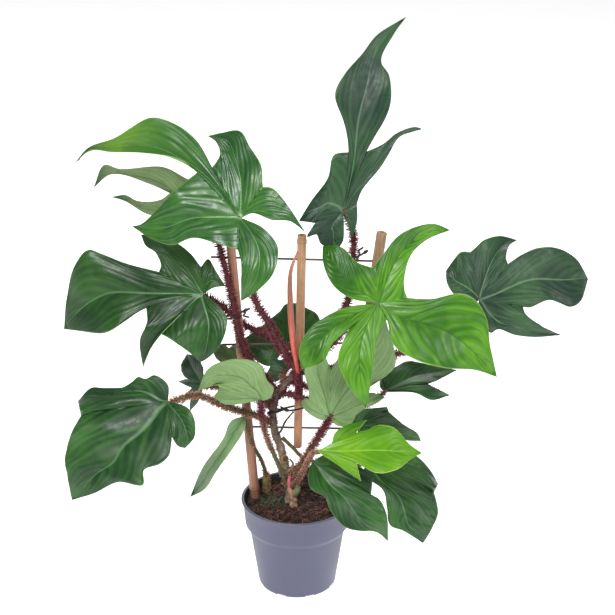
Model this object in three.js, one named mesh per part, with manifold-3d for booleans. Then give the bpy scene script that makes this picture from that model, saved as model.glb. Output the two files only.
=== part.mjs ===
// A potted philodendron with five-lobed leaves on bristly red petioles, tied to a bamboo fan rack.
// Millimetres, +Z up. The origin is the middle of the pot's flat base, and -Y faces the viewer.
import * as THREE from "three";
import { mergeVertices } from "three/addons/utils/BufferGeometryUtils.js";
import Module from "manifold-3d";

const wasm = await Module();
wasm.setup();

// Driving dimensions
const GAP = 0.3;
const SLIVER = 0.03;
const POT = { sides: 32, notches: 8, notchWidth: 16, notchHeight: 4, notchAngle: -70 };
const POT_OUTSIDE = [
  [0, 0], [56.5, 0], [58.5, 1.5], [59.5, 5], [72.5, 94], [79, 103], [82.5, 140], [85, 141.5], [85, 144],
];
const POT_INSIDE = [
  [80.5, 144], [79.7, 132], [76.5, 104], [70.5, 94], [57.7, 6], [56, 2.5], [0, 2.5],
];
const SOIL = { top: 131, lump: 2.5, rings: [78.6, 70, 58, 46, 34, 22, 10] };
const RACK = { foot: 20, lean: 14 / 428, soil: 132 };
const CANES = {
  left: { low: [-62.6, 106], high: [-97, 560], radius: 7.3, taper: 0.9, knots: [150, 372] },
  middle: { low: [1, 218], high: [8, 558], radius: 6.4, taper: 1.04, knots: [548] },
  right: { low: [64, 110], high: [124, 562], radius: 7.2, taper: 1.08, knots: [300] },
};
const WIRE_RADIUS = 1.6;
const WIRES = {
  top: { left: [-125, 524], right: [142, 517] },
  middle: { left: [-111, 386], right: [120, 389] },
  low: { left: [-94, 252], right: [92, 248] },
};
const TIE_RADIUS = 1.5;
const STALK = { root: 4.5, tip: 3.1 };
const BRISTLE = { length: 5.5, radius: 0.8, spacing: 17, turn: 137.5 };
const BLADE = { thickness: 0.8, rows: 6, columns: 2, arch: 0.07, droop: 0.12, cup: 0.12, wave: 0.1 };

const UNFOLD = { turns: 60, ways: 8, thinnest: 0.12, steps: [6, 2, 0.7] };

// The front view that the leaves' outlines are drawn in: where the eye is, how far it looks down, and
// the focal length and middle of a view 615 pixels wide, with y running down.
const VIEW = { eye: [16, -2290, 1430], pitch: 23, focal: 1708, middle: 307.5 };

// Colours
const COLOURS = {
  pot: 0x76768c,
  soil: 0x3c2a24,
  bamboo: 0xd2a06e,
  wire: 0x3c2d32,
  tie: 0x17171a,
  wood: 0x6b5a48,
  sheath: 0xc86a58,
  root: 0x4a3a2c,
  stub: 0x8a8a4a,
  bristles: 0x6a1c30,
  dark: 0x2d5a2d,
  mid: 0x3c7823,
  bright: 0x50961e,
  lime: 0x8cc31e,
  pale: 0x8caa73,
};

// Leaves: where the blade meets its petiole, how far it turns from the viewer and how far up it faces.
// Lobes run anticlockwise from the gap at the petiole, each by the points of its right and left margin,
// from inside out, its tip and its sinus with the next lobe, in pixels of the front view.
// A leaf marked under shows the viewer its underside. A petiole's points run from its root to the blade.
const LEAVES = {
  top_left: {
    at: [-77, -40, 611], turn: -20, face: 35, colour: "dark",
    lobes: [
      { right: [[252, 213], [272, 220], [290, 221]], tip: [305, 232],
        left: [[272, 188], [283, 199], [295, 216]], sinus: [263, 187] },
      { right: [[261, 165], [250, 147], [240, 131], [222, 133]], tip: [208, 136],
        left: [[220, 155], [216, 142]], sinus: [212, 168] },
      { right: [[197, 141], [175, 124], [150, 118], [115, 138], [88, 148]], tip: [75, 163],
        left: [[180, 159], [145, 153], [110, 152], [90, 150]], sinus: [198, 172] },
      { right: [[172, 193], [155, 212], [140, 225]], tip: [132, 226],
        left: [[215, 243], [193, 238], [172, 245], [150, 238]], sinus: [238, 250] },
      { right: [[241, 262], [241, 285]], tip: [241, 301],
        left: [[263, 228], [278, 248], [273, 274], [256, 292]] },
    ],
    petiole: [[0, 5, 356], [-20, -4, 392], [-39, -8, 434], [-61, -14, 479], [-70, -26, 550]],
  },
  back_left: {
    at: [-129, 60, 584], turn: 10, face: 5, under: true, colour: "pale",
    lobes: [
      { right: [[222, 206], [236, 200]], tip: [244, 190], left: [[232, 184]], sinus: [212, 184] },
      { right: [[190, 180], [163, 167], [120, 169], [104, 165]], tip: [94, 187],
        left: [[150, 184], [112, 174]], sinus: [170, 193] },
      { right: [[160, 200], [138, 201], [125, 195]], tip: [112, 197],
        left: [[190, 214], [150, 215], [125, 201]] },
    ],
    petiole: [
      [-28, 8, 318], [-55, 14, 348], [-75, 14, 380], [-84, 13, 408], [-94, 14, 464], [-112, 30, 541],
    ],
  },
  mid_left: {
    at: [-136, 10, 475], turn: -20, face: 30, colour: "dark",
    lobes: [
      { right: [[213, 288]], tip: [225, 286], left: [[208, 259], [216, 271]], sinus: [201, 267] },
      { right: [[190, 253], [172, 240], [155, 234]], tip: [141, 235],
        left: [[161, 265], [155, 252], [146, 246]], sinus: [159, 272] },
      { right: [[125, 263], [102, 254], [88, 250], [75, 265], [67, 297]], tip: [64, 329],
        left: [[136, 313], [124, 322], [105, 333], [80, 331]], sinus: [146, 306] },
      { right: [[147, 322], [140, 340]], tip: [143, 367], left: [[151, 348]], sinus: [161, 334] },
      { right: [[170, 339], [190, 353]], tip: [200, 362],
        left: [[213, 301], [226, 315], [227, 325], [219, 347], [205, 360]] },
    ],
    petiole: [
      [-2, 12, 355], [-19, 26, 378], [-40, 40, 393], [-62, 49, 400], [-84, 49, 413], [-112, 36, 446],
    ],
  },
  low_left: {
    at: [-188, -40, 326], turn: -25, face: 40, colour: "dark", rows: 9,
    lobes: [
      { right: [[168, 385], [154, 375], [146, 379], [138, 377], [128, 386], [105, 388], [91, 388]],
        tip: [78, 401], left: [], sinus: [81, 416] },
      { right: [[71, 434], [65, 460], [67, 474]], tip: [72, 500],
        left: [[169, 455], [160, 464], [144, 470], [143, 485], [118, 482], [95, 493]], sinus: [172, 437] },
      { right: [[178, 446]], tip: [185, 448], left: [[188, 408], [195, 422], [194, 438]] },
    ],
    petiole: [[-34, 4, 266], [-60, 2, 281], [-85, 0, 290], [-108, -6, 301], [-148, -24, 328]],
  },
  folded_left: {
    at: [-140, 20, 325], turn: -55, face: 20, colour: "dark", rows: 3,
    lobes: [
      { right: [[203, 368], [197, 357]], tip: [187, 354],
        left: [[184, 376], [181, 366]], sinus: [192, 381] },
      { right: [[186, 379]], tip: [178, 381.5], left: [[185, 385]], sinus: [192, 388] },
      { right: [[184, 396]], tip: [181, 405], left: [[187, 400]], sinus: [193, 396] },
      { right: [[190, 402]], tip: [190, 411], left: [[202, 392], [198, 402]] },
    ],
    petiole: [[-32, 10, 300], [-54, 24, 297], [-79, 44, 297], [-109, 42, 308]],
  },
  pale_left: {
    at: [-49, -35, 324], turn: 10, face: 10, under: true, colour: "pale",
    lobes: [
      { right: [[270, 398], [274, 388], [267, 380], [262, 366], [250, 360], [228, 360], [208, 369]],
        tip: [198, 391], left: [[208, 387]], sinus: [218, 384] },
      { right: [[219, 389]], tip: [214, 396], left: [[256, 401], [240, 404], [224, 404]] },
    ],
    petiole: [[-15, -4, 160], [-22, -9, 188], [-34, -12, 222], [-46, -20, 260], [-51, -27, 292]],
    stalk: { root: 3.5, tip: 2.8 },
  },
  hanging_left: {
    at: [-76, 0, 282], turn: -35, face: 20, colour: "mid", cup: 0.45,
    lobes: [
      { right: [[231, 421], [223, 439], [203, 467]], tip: [190, 497],
        left: [[244, 430], [231, 451], [216, 472], [205, 489]] },
    ],
    petiole: [[-47, 38, 158], [-54, 32, 188], [-66, 20, 220], [-73, 7, 254]], stalk: { root: 3.1, tip: 2.6 },
  },
  top: {
    at: [67, 10, 602], turn: 5, face: 15, colour: "dark",
    lobes: [
      { right: [[349, 228]], tip: [351, 240], left: [[357, 222]], sinus: [357, 203] },
      { right: [[362, 190], [380, 168], [391, 150], [397, 138]], tip: [422, 129],
        left: [[383, 144], [397, 133], [415, 127]], sinus: [363, 153] },
      { right: [[385, 119], [391, 100], [389, 75], [381, 61], [394, 34]], tip: [406, 17],
        left: [[347, 128], [335, 95], [344, 75], [362, 54], [377, 35]], sinus: [350, 152] },
      { right: [[334, 155], [328, 178], [312, 200]], tip: [299, 221], left: [], sinus: [315, 223] },
      { right: [[307, 237], [316, 234], [321, 244]], tip: [337, 250], left: [[344, 228], [343, 241]] },
    ],
    petiole: [[3, 10, 361], [42, 14, 408], [75, 14, 461], [82, 16, 529], [81, 16, 569]],
  },
  front_right: {
    at: [116, -60, 489], turn: 8, face: 30, colour: "bright",
    lobes: [
      { right: [[352, 306], [330, 314], [308, 331], [299, 352]], tip: [302, 369],
        left: [[333, 343], [323, 362]], sinus: [350, 328] },
      { right: [[342, 344], [338, 360], [347, 383]], tip: [366, 409],
        left: [[380, 330], [374, 357], [371, 382]], sinus: [388, 318] },
      { right: [[393, 344], [416, 360], [445, 368], [475, 370]], tip: [497, 377],
        left: [[432, 299], [458, 293.5], [473, 298], [486, 317], [490, 345]], sinus: [407, 298] },
      { right: [[404, 285], [410, 257], [425, 241]], tip: [450, 230],
        left: [[384, 253], [398, 236], [418, 226], [435, 224]], sinus: [373, 268] },
      { right: [[357, 262], [341, 247]], tip: [323, 246],
        left: [[350, 298], [332, 284], [323, 262]] },
    ],
    petiole: [[7, 2, 358], [42, -10, 395], [77, -30, 443]],
  },
  far_right: {
    at: [267, 20, 461], turn: 25, face: 35, colour: "dark",
    lobes: [
      { right: [[479, 315], [491, 333], [497, 329], [515, 335], [535, 337]], tip: [561, 335],
        left: [[525, 313], [540, 325]], sinus: [523, 307] },
      { right: [[530, 307.5], [550, 300], [570, 307], [580, 302]], tip: [588, 279],
        left: [[521, 255], [540, 247.5], [560, 249], [577, 260]], sinus: [508, 264] },
      { right: [[506, 258], [509, 246]], tip: [517, 240],
        left: [[475, 248], [484, 240], [500, 236]], sinus: [470, 252] },
      { right: [[461, 252], [453, 261]], tip: [446, 271], left: [[455, 295], [447, 283]] },
    ],
    petiole: [[2, 11, 348], [54, 12, 356], [95, 9, 367], [130, 14, 372], [160, 20, 379], [212, 24, 413]],
  },
  side_right: {
    at: [132, 45, 300], turn: 15, face: 60, colour: "dark", rows: 4,
    lobes: [
      { right: [[415, 393], [432, 400]], tip: [450, 395], left: [], sinus: [428, 384] },
      { right: [[438, 380]], tip: [457, 370], left: [[408, 361], [430, 365]], sinus: [392, 369] },
      { right: [[386, 373]], tip: [380, 378], left: [[380, 387]] },
    ],
    petiole: [[-12, 12, 334], [8, 6, 330], [50, 12, 308], [92, 14, 288], [116, 30, 293]],
    stalk: { root: 3.6, tip: 2.8 },
  },
  pale_centre: {
    at: [49, -45, 302], turn: 0, face: 10, under: true, colour: "pale",
    lobes: [
      { right: [[336, 425]], tip: [347, 427], left: [[352, 423]], sinus: [356, 415] },
      { right: [[368, 407], [377, 403]], tip: [385, 397], left: [[374, 393]], sinus: [366, 393] },
      { right: [[370, 387], [382, 379], [395, 366], [394, 348], [388, 328]], tip: [384, 313],
        left: [[343, 350], [360, 325]], sinus: [331, 370] },
      { right: [[326, 358]], tip: [321, 349],
        left: [[309, 391], [304.5, 371], [308, 362]], sinus: [309, 399] },
      { right: [[305, 398.5]], tip: [301, 403], left: [[322, 420], [306, 411]] },
    ],
    petiole: [[-13, 0, 180], [5, -14, 206], [20, -24, 237], [37, -36, 273]], stalk: { root: 3.9, tip: 3 },
  },
  young: {
    at: [30, -100, 275], turn: 10, face: 50, colour: "lime",
    lobes: [
      { right: [[335, 463], [349, 473]], tip: [361, 481], left: [], sinus: [356, 461] },
      { right: [[364, 467], [378, 473], [397, 469.5], [411, 459]], tip: [422, 453],
        left: [[367, 430], [380, 425], [395, 428.5], [409, 444]], sinus: [356, 433] },
      { right: [], tip: [366.5, 420], left: [[330, 446], [335, 433], [345, 426]] },
    ],
    petiole: [[-7, -10, 166], [5, -24, 192], [17, -50, 232], [25, -80, 262]], stalk: { root: 2.9, tip: 2.4 },
  },
  low_front: {
    at: [23, -75, 244], turn: 15, face: 45, colour: "dark",
    lobes: [
      { right: [[308, 474], [311, 489], [325, 497], [329, 508], [345, 527], [362, 531], [376, 531]],
        tip: [388, 541], left: [[380, 500], [387, 517]], sinus: [371, 495] },
      { right: [], tip: [373, 475], left: [[325, 455], [350, 462]] },
    ],
    petiole: [[-12, 12, 184], [6, 6, 186], [24, -8, 194], [31, -38, 214]],
  },
  low_right: {
    at: [104, -20, 213], turn: 30, face: 40, colour: "dark",
    lobes: [
      { right: [[363, 476], [371, 481], [383, 490], [387, 508], [390, 525], [404, 531]], tip: [423, 543],
        left: [[438, 512], [431, 530]], sinus: [434, 492] },
      { right: [], tip: [438, 484], left: [[390, 445], [415, 455], [430, 470]] },
    ],
    petiole: [[-22, 8, 241], [-7, 6, 226], [9, 6, 209], [45, 4, 197], [84, -8, 201]],
    stalk: { root: 2.8, tip: 2.5 },
  },
  under_right: {
    at: [92, 0, 265], turn: 20, face: 30, colour: "dark", rows: 4,
    lobes: [
      { right: [[358, 434]], tip: [362, 439], left: [], sinus: [371, 433] },
      { right: [[385, 432], [405, 440]], tip: [421, 441],
        left: [[403, 424], [417, 433]], sinus: [389, 412] },
      { right: [], tip: [387, 407], left: [[352, 418], [358, 411], [376, 408]] },
    ],
    petiole: [[-25, 8, 316], [0, 3, 314], [30, 2, 300], [60, 4, 282]], stalk: { root: 3.6, tip: 2.8 },
  },
  back: {
    at: [-18, 90, 354], turn: -5, face: 20, colour: "dark", rows: 4,
    lobes: [
      { right: [[305, 348]], tip: [322, 326], left: [[317, 314]], sinus: [307, 308] },
      { right: [], tip: [295, 303], left: [[286, 304]], sinus: [280, 311] },
      { right: [[268, 321], [256, 330]], tip: [240, 342], left: [[270, 366], [253, 358]] },
    ],
    petiole: [[-20, 14, 329], [2, 40, 337], [0, 70, 350]],
  },
  inner: {
    at: [-15, 50, 331], turn: -20, face: 20, colour: "dark", rows: 3,
    lobes: [
      { right: [[292, 366]], tip: [287, 358], left: [], sinus: [280, 360] },
      { right: [], tip: [272, 357], left: [], sinus: [270, 367] },
      { right: [], tip: [264, 378], left: [[280, 380], [270, 382]] },
    ],
    petiole: [[-28, 9, 309], [-22, 30, 313]],
  },
  back_pale: {
    at: [-87, 75, 329], turn: -10, face: 10, under: true, colour: "pale", rows: 3,
    lobes: [
      { right: [[243, 352]], tip: [236, 343], left: [], sinus: [229, 348] },
      { right: [[222, 344]], tip: [212, 348], left: [[228, 366], [216, 358]] },
    ],
    petiole: [[-34, 12, 286], [-53, 40, 292], [-72, 60, 304]],
  },
};

const material = (colour, roughness = 0.5) => new THREE.MeshStandardMaterial({ color: colour, roughness });
const radians = THREE.MathUtils.degToRad;
const vector = (point) => new THREE.Vector3(...point);

// Solids

function makeSolid(positions, indices) {
  return new wasm.Manifold(new wasm.Mesh({
    numProp: 3,
    vertProperties: new Float32Array(positions),
    triVerts: new Uint32Array(indices),
  }));
}

// A closed geometry as a solid that faces out.
function solidOf(geometry, matrix = new THREE.Matrix4()) {
  const places = geometry.getAttribute("position").clone();
  const bare = new THREE.BufferGeometry().setAttribute("position", places);
  if (geometry.index) bare.setIndex(geometry.index);
  const merged = mergeVertices(bare.applyMatrix4(matrix), 1e-3);
  const indices = Array.from(merged.index.array);
  const solid = makeSolid(merged.attributes.position.array, indices);
  return solid.volume() < 0 ? makeSolid(merged.attributes.position.array, indices.reverse()) : solid;
}

function geometryOf(solid) {
  const { vertProperties, triVerts, numProp } = solid.getMesh();
  const positions = new Float32Array((vertProperties.length / numProp) * 3);
  for (let i = 0; i < positions.length / 3; i++) {
    positions.set(vertProperties.subarray(i * numProp, i * numProp + 3), i * 3);
  }
  const geometry = new THREE.BufferGeometry();
  geometry.setAttribute("position", new THREE.BufferAttribute(positions, 3));
  geometry.setIndex(new THREE.BufferAttribute(triVerts, 1));
  return geometry;
}

const largest = (solid) => solid.decompose().sort((a, b) => b.volume() - a.volume())[0];
const joined = (solids) => solids.reduce((whole, solid) => whole.add(solid));
const cutBy = (solid, tools) => (
  largest(tools.reduce((rest, tool) => rest.subtract(tool), solid)).simplify(SLIVER)
);

function meshOf(name, solid, look) {
  const mesh = new THREE.Mesh(geometryOf(solid), look);
  mesh.name = name;
  return mesh;
}

// A limb is a round rod along a smooth curve, with its radius given along the curve from 0 to 1.
function limb(points, radiusAt, { sides = 6, steps = 12, grow = 0 } = {}) {
  const path = new THREE.CatmullRomCurve3(points.map(vector));
  const section = new THREE.Shape();
  for (let i = 0; i < sides; i++) {
    const angle = (i / sides) * 2 * Math.PI;
    section[i ? "lineTo" : "moveTo"](Math.cos(angle), Math.sin(angle));
  }
  const geometry = new THREE.ExtrudeGeometry(section, { steps, extrudePath: path, bevelEnabled: false });
  const centres = path.getSpacedPoints(steps);
  const place = geometry.attributes.position;
  const point = new THREE.Vector3();
  for (let i = 0; i < place.count; i++) {
    point.fromBufferAttribute(place, i);
    const distances = centres.map((centre) => centre.distanceToSquared(point));
    const nearest = distances.indexOf(Math.min(...distances));
    point.sub(centres[nearest]).multiplyScalar(radiusAt(nearest / steps) + grow).add(centres[nearest]);
    place.setXYZ(i, point.x, point.y, point.z);
  }
  return solidOf(geometry);
}

const tapered = (start, end) => (along) => start + (end - start) * along;

// Three-sided bristles round a limb, each turned on from the last, with their roots sunk in it.
function bristles(points, radiusAt, { from = 0.05, to = 0.95 } = {}) {
  const path = new THREE.CatmullRomCurve3(points.map(vector));
  const count = Math.round((path.getLength() * (to - from)) / BRISTLE.spacing);
  const frames = path.computeFrenetFrames(count, false);
  const up = new THREE.Vector3(0, 1, 0);
  const cone = new THREE.ConeGeometry(BRISTLE.radius, BRISTLE.length + 1.5, 3);
  return Array.from({ length: count }, (_, i) => {
    const along = from + ((i + 0.5) / count) * (to - from);
    const angle = radians(i * BRISTLE.turn);
    const out = frames.normals[i].clone().multiplyScalar(Math.cos(angle));
    out.addScaledVector(frames.binormals[i], Math.sin(angle));
    const lean = out.clone().addScaledVector(frames.tangents[i], 0.3).normalize();
    const centre = path.getPointAt(along).addScaledVector(lean, radiusAt(along) + BRISTLE.length / 2 - 1.5);
    const turn = new THREE.Quaternion().setFromUnitVectors(up, lean);
    return solidOf(cone, new THREE.Matrix4().compose(centre, turn, new THREE.Vector3(1, 1, 1)));
  });
}

// Blades

// The leaf's own frame: its plane faces the viewer, then tips up by its face angle and turns.
function placeLeaf(object, leaf) {
  object.position.set(...leaf.at);
  object.rotation.set(radians(90 - leaf.face), 0, radians(leaf.turn), "ZXY");
  object.updateMatrixWorld(true);
  return object;
}

// A pixel of the front view laid on the leaf's plane, in the leaf's own frame.
function laidOn(frame, [x, y]) {
  const ray = new THREE.Vector3(x - VIEW.middle, VIEW.focal, VIEW.middle - y);
  ray.applyAxisAngle(new THREE.Vector3(1, 0, 0), -radians(VIEW.pitch));
  const eye = frame.worldToLocal(vector(VIEW.eye));
  const ahead = frame.worldToLocal(ray.add(vector(VIEW.eye)));
  return eye.lerp(ahead, eye.z / (eye.z - ahead.z));
}

// Each lobe's rib and its margin on either side (-1 is right) as curves that run from 0 to 1 at the tip.
// A point that leaves the plane moves along the line of sight, which keeps the outline in view.
function makeLobes(leaf) {
  const frame = placeLeaf(new THREE.Object3D(), leaf);
  const eye = frame.worldToLocal(vector(VIEW.eye));
  const upward = leaf.under ? -1 : 1;
  const lifted = (point, height) => point.clone().lerp(eye, height / eye.z);
  const flat = (pixel) => (pixel ? laidOn(frame, pixel) : new THREE.Vector3());
  return leaf.lobes.map((lobe, n) => {
    const tip = flat(lobe.tip);
    const outline = (start, points) => new THREE.CatmullRomCurve3([flat(start), ...points.map(flat), tip]);
    const margins = [outline(leaf.lobes[n - 1]?.sinus, lobe.right), outline(lobe.sinus, lobe.left)];
    const halfway = (s) => margins[0].getPointAt(s).add(margins[1].getPointAt(s)).multiplyScalar(0.5);
    const rib = (s) => {
      const rise = upward * tip.length() * (4 * BLADE.arch * s * (1 - s) - BLADE.droop * s * s);
      return lifted(halfway(s).addScaledVector(halfway(0), -((1 - s) ** 2)), rise);
    };
    const margin = (side, s) => {
      const point = margins[side > 0 ? 1 : 0].getPointAt(s);
      const middle = rib(s);
      const width = Math.hypot(point.x - middle.x, point.y - middle.y);
      const wave = BLADE.wave * Math.sin(3 * Math.PI * s + n * 1.7 + side) * Math.sin(Math.PI * s);
      return lifted(point, middle.z + width * (upward * (leaf.cup ?? BLADE.cup) + wave));
    };
    return { rib, margin };
  });
}

// The blade's middle surface as a grid for each half lobe, with its rows along the veins.
function bladeSurface(leaf) {
  const lobes = makeLobes(leaf);
  const rows = leaf.rows ?? BLADE.rows;
  const { columns } = BLADE;
  const bulge = (leaf.under ? -1 : 1) * 0.2;
  const points = [];
  const names = new Map();
  const triangles = [];
  const vertex = (name, make) => {
    if (!names.has(name)) {
      names.set(name, points.length);
      points.push(make());
    }
    return names.get(name);
  };
  lobes.forEach((lobe, n) => [-1, 1].forEach((side) => {
    const hasSeam = Boolean(lobes[n + side]);
    const inside = (s, t) => {
      const reach = lobe.margin(side, s).sub(lobe.rib(s));
      const point = lobe.rib(s).addScaledVector(reach, t);
      return point.setZ(point.z + bulge * reach.length() * t * (1 - t));
    };
    const at = (i, j) => {
      if (i === rows) return vertex(`tip ${n}`, () => lobe.rib(1));
      if (i === 0 && (j === 0 || !hasSeam)) return vertex("root", () => new THREE.Vector3());
      if (i === 0) return vertex(`seam ${n + (side - 1) / 2} ${j}`, () => inside(0, j / columns));
      if (j === 0) return vertex(`rib ${n} ${i}`, () => lobe.rib(i / rows));
      return vertex(`half ${n} ${side} ${i} ${j}`, () => inside(i / rows, j / columns));
    };
    for (let i = 0; i < rows; i++) {
      for (let j = 0; j < columns; j++) {
        const [a, b, c, d] = [at(i, j), at(i + 1, j), at(i + 1, j + 1), at(i, j + 1)];
        for (const [p, q, r] of [[a, b, c], [a, c, d]]) {
          if (p !== q && q !== r && r !== p) triangles.push(side > 0 ? [p, q, r] : [p, r, q]);
        }
      }
    }
  }));
  return { points: unfolded(points, triangles), triangles };
}

// The points with the inner ones moved in the plane until no triangle there is folded or thin.
function unfolded(points, triangles) {
  const around = points.map(() => []);
  triangles.forEach((triangle) => triangle.forEach((corner) => around[corner].push(triangle)));
  const onMargin = (corner) => around[corner].some((triangle) => triangle.some((other) => (
    other !== corner && around[corner].filter((each) => each.includes(other)).length === 1
  )));
  const shape = ([a, b, c]) => {
    const [p, q, r] = [points[a], points[b], points[c]];
    const area = (q.x - p.x) * (r.y - p.y) - (r.x - p.x) * (q.y - p.y);
    return area / (p.distanceToSquared(q) + q.distanceToSquared(r) + r.distanceToSquared(p));
  };
  const fault = (corner) => around[corner].reduce((sum, triangle) => (
    sum + Math.max(0, UNFOLD.thinnest - shape(triangle)) ** 8
  ), 0);
  const inner = points.map((_, corner) => corner).filter((corner) => !onMargin(corner));
  for (let turn = 0; turn < UNFOLD.turns; turn++) {
    for (const corner of inner.filter(fault)) {
      for (let way = 0; way < UNFOLD.ways; way++) {
        const before = points[corner].clone();
        const now = fault(corner);
        const angle = (way / UNFOLD.ways) * 2 * Math.PI + turn;
        const step = UNFOLD.steps[turn % UNFOLD.steps.length];
        points[corner].add(new THREE.Vector3(step * Math.cos(angle), step * Math.sin(angle), 0));
        if (fault(corner) >= now) points[corner].copy(before);
      }
    }
  }
  return points;
}

// The middle surface thickened both ways along its normals, with a wall round its margin.
function bladeSolid(leaf, thickness) {
  const { points, triangles } = bladeSurface(leaf);
  const normals = points.map(() => new THREE.Vector3());
  const open = new Map();
  for (const [a, b, c] of triangles) {
    const normal = points[b].clone().sub(points[a]).cross(points[c].clone().sub(points[a]));
    for (const [p, q] of [[a, b], [b, c], [c, a]]) {
      normals[p].add(normal);
      if (!open.delete(`${q} ${p}`)) open.set(`${p} ${q}`, [p, q]);
    }
  }
  normals.forEach((normal) => normal.setLength(thickness / 2));
  const faces = [1, -1].flatMap((way) => points.flatMap((point, i) => (
    point.clone().addScaledVector(normals[i], way).toArray()
  )));
  const under = points.length;
  const indices = triangles.flatMap(([a, b, c]) => [a, b, c, under + a, under + c, under + b]);
  for (const [p, q] of open.values()) {
    indices.push(under + p, under + q, q, under + p, q, p);
  }
  return makeSolid(faces, indices);
}

// Pot and soil

function lathe(profile, sides) {
  const outline = profile.map(([radius, height]) => new THREE.Vector2(radius, height));
  return new THREE.LatheGeometry(outline, sides).rotateX(Math.PI / 2);
}

function makePot() {
  const notch = new THREE.BoxGeometry(20, POT.notchWidth, 2 * POT.notchHeight);
  const notches = Array.from({ length: POT.notches }, (_, i) => {
    const angle = radians(POT.notchAngle + (i * 360) / POT.notches);
    const turned = new THREE.Matrix4().makeRotationZ(angle);
    return solidOf(notch, turned.multiply(new THREE.Matrix4().makeTranslation(64, 0, 0)));
  });
  return cutBy(solidOf(lathe([...POT_OUTSIDE, ...POT_INSIDE], POT.sides)), notches);
}

// Soil fills the pot to a little under its rim, with a crumbly top.
function makeSoil(standing) {
  const wall = POT_INSIDE.slice(2).reverse().map(([radius, height], i) => [
    Math.max(radius - 0.8, 0),
    height + (i < 2 ? GAP : 0),
  ]);
  const top = SOIL.rings.map((radius) => [radius, SOIL.top]);
  const geometry = lathe([...wall, ...top, [0, SOIL.top]], POT.sides);
  const place = geometry.attributes.position;
  for (let i = 0; i < place.count; i++) {
    const [x, y, z] = [place.getX(i), place.getY(i), place.getZ(i)];
    const lump = Math.sin(0.13 * x + 1) * Math.cos(0.11 * y) + 0.6 * Math.sin(0.31 * x - 0.27 * y);
    if (z > SOIL.top - 1) place.setZ(i, z + SOIL.lump * lump);
  }
  return cutBy(solidOf(geometry), standing);
}

// Rack

const rackDepth = (height) => RACK.foot + RACK.lean * (height - RACK.soil);
const onRack = ([x, z]) => [x, rackDepth(z), z];

function caneSolid(cane, grow = 0) {
  const low = vector(onRack(cane.low));
  const axis = vector(onRack(cane.high)).sub(low);
  const length = axis.length();
  const radius = (height) => cane.radius * (1 + (cane.taper - 1) * (height / length)) + grow;
  const knots = cane.knots.map((z) => z - cane.low[1]).flatMap((height) => [
    [radius(height), height - 5],
    [radius(height) + 0.9, height - 1.5],
    [radius(height) + 0.9, height + 1.5],
    [radius(height), height + 5],
  ]);
  const profile = [[0, 0], [radius(0), 0], ...knots, [radius(length), length], [0, length]];
  const turn = new THREE.Quaternion().setFromUnitVectors(new THREE.Vector3(0, 0, 1), axis.normalize());
  return solidOf(lathe(profile, 12), new THREE.Matrix4().compose(low, turn, new THREE.Vector3(1, 1, 1)));
}

const wireSolid = (wire, grow = 0) => (
  limb([onRack(wire.left), onRack(wire.right)], () => WIRE_RADIUS, { sides: 8, steps: 3, grow })
);

// Stem, stubs, sheath and root

const STEM = {
  path: [
    [-14, 14, 104], [-12, 10, 135], [-12, 6, 170], [-17, 6, 190], [-21, 6, 209], [-24, 6, 224],
    [-33, 6, 252], [-36, 6, 283], [-28, 6, 319], [-9, 6, 341], [0, 6, 352], [3, 6, 366],
  ],
  radius: (along) => 6.6 - 1.6 * along + 0.6 * Math.sin(along * 75),
  base: [[-5, -8, 108], [-6, -8, 130], [-7, -8, 150], [-11, -4, 168]],
  baseRadius: (along) => 6.6 - 1.2 * along,
  bulb: [[-7, -8, 150], [-2, -11, 157], [1, -12, 166], [-1, -12, 172]],
  bulbRadius: (along) => 2 + 3.6 * Math.sin(Math.PI * (0.15 + 0.8 * along)),
  bud: [[-10, -5, 164], [-12, -8, 174], [-11, -8, 184]],
  scar: [[-22, 6, 209], [-19, -1, 210], [-17.5, -4, 211]],
  shoot: [[-14, 2, 180], [-8, -1, 193], [-6, -1, 202], [-11, -2, 210]],
};
const SHEATH_STUB = [[-47, 40, 108], [-47, 40, 130], [-48, 39, 162]];
const NEW_SHEATH = [[2, 1, 352], [-5, -8, 404], [-9, -6, 468], [-8, 0, 515], [2, 6, 543]];
const AERIAL_ROOT = [[-31, 3, 247], [-24, -1, 257], [-18, 4, 269], [-5, 10, 284]];

function stemSolid(grow = 0) {
  const wide = { sides: 8, steps: 24, grow };
  return joined([
    limb(STEM.path, STEM.radius, wide),
    limb(STEM.base, STEM.baseRadius, { ...wide, steps: 5 }),
    limb(STEM.bulb, STEM.bulbRadius, { ...wide, steps: 6 }),
    limb(STEM.bud, tapered(4.4, 2), { steps: 4, grow }),
    limb(STEM.scar, tapered(6.2, 6), { ...wide, steps: 3 }),
    limb(STEM.shoot, tapered(2.6, 1.6), { steps: 5, grow }),
  ]);
}

const stubSolid = (grow = 0) => limb(SHEATH_STUB, tapered(7, 5), { sides: 8, steps: 5, grow });

function sheathSolid(grow = 0) {
  const radius = (along) => 1.2 + 3.4 * Math.sin(Math.PI * (0.12 + 0.86 * along));
  return limb(NEW_SHEATH, radius, { steps: 14, grow });
}

// Black ties, each a wire bent round a cane and what it holds, with two loose ends.
const TIES = {
  left: [
    [-68, 18, 449], [-80, 17, 444], [-94, 7, 438], [-105, 15, 434], [-101, 34, 432], [-88, 42, 434],
    [-76, 32, 436], [-78, 19, 437], [-70, 15, 436],
  ],
  middle: [
    [-20, -8, 296], [-30, -4, 290], [-43, 3, 284], [-42, 14, 280], [-18, 30, 280], [6, 36, 282],
    [14, 24, 286], [8, 13, 288], [-14, -2, 292], [-24, -6, 300],
  ],
  top: [
    [103, 8, 544], [92, 9, 536], [80, 12.6, 530], [74, 20, 524], [78, 34, 514], [88, 38, 518],
    [92, 34, 530], [90, 22, 538], [96, 14, 546],
  ],
};

const tieSolid = (tie, grow = 0) => limb(tie, () => TIE_RADIUS, { sides: 5, steps: 18, grow });

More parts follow.
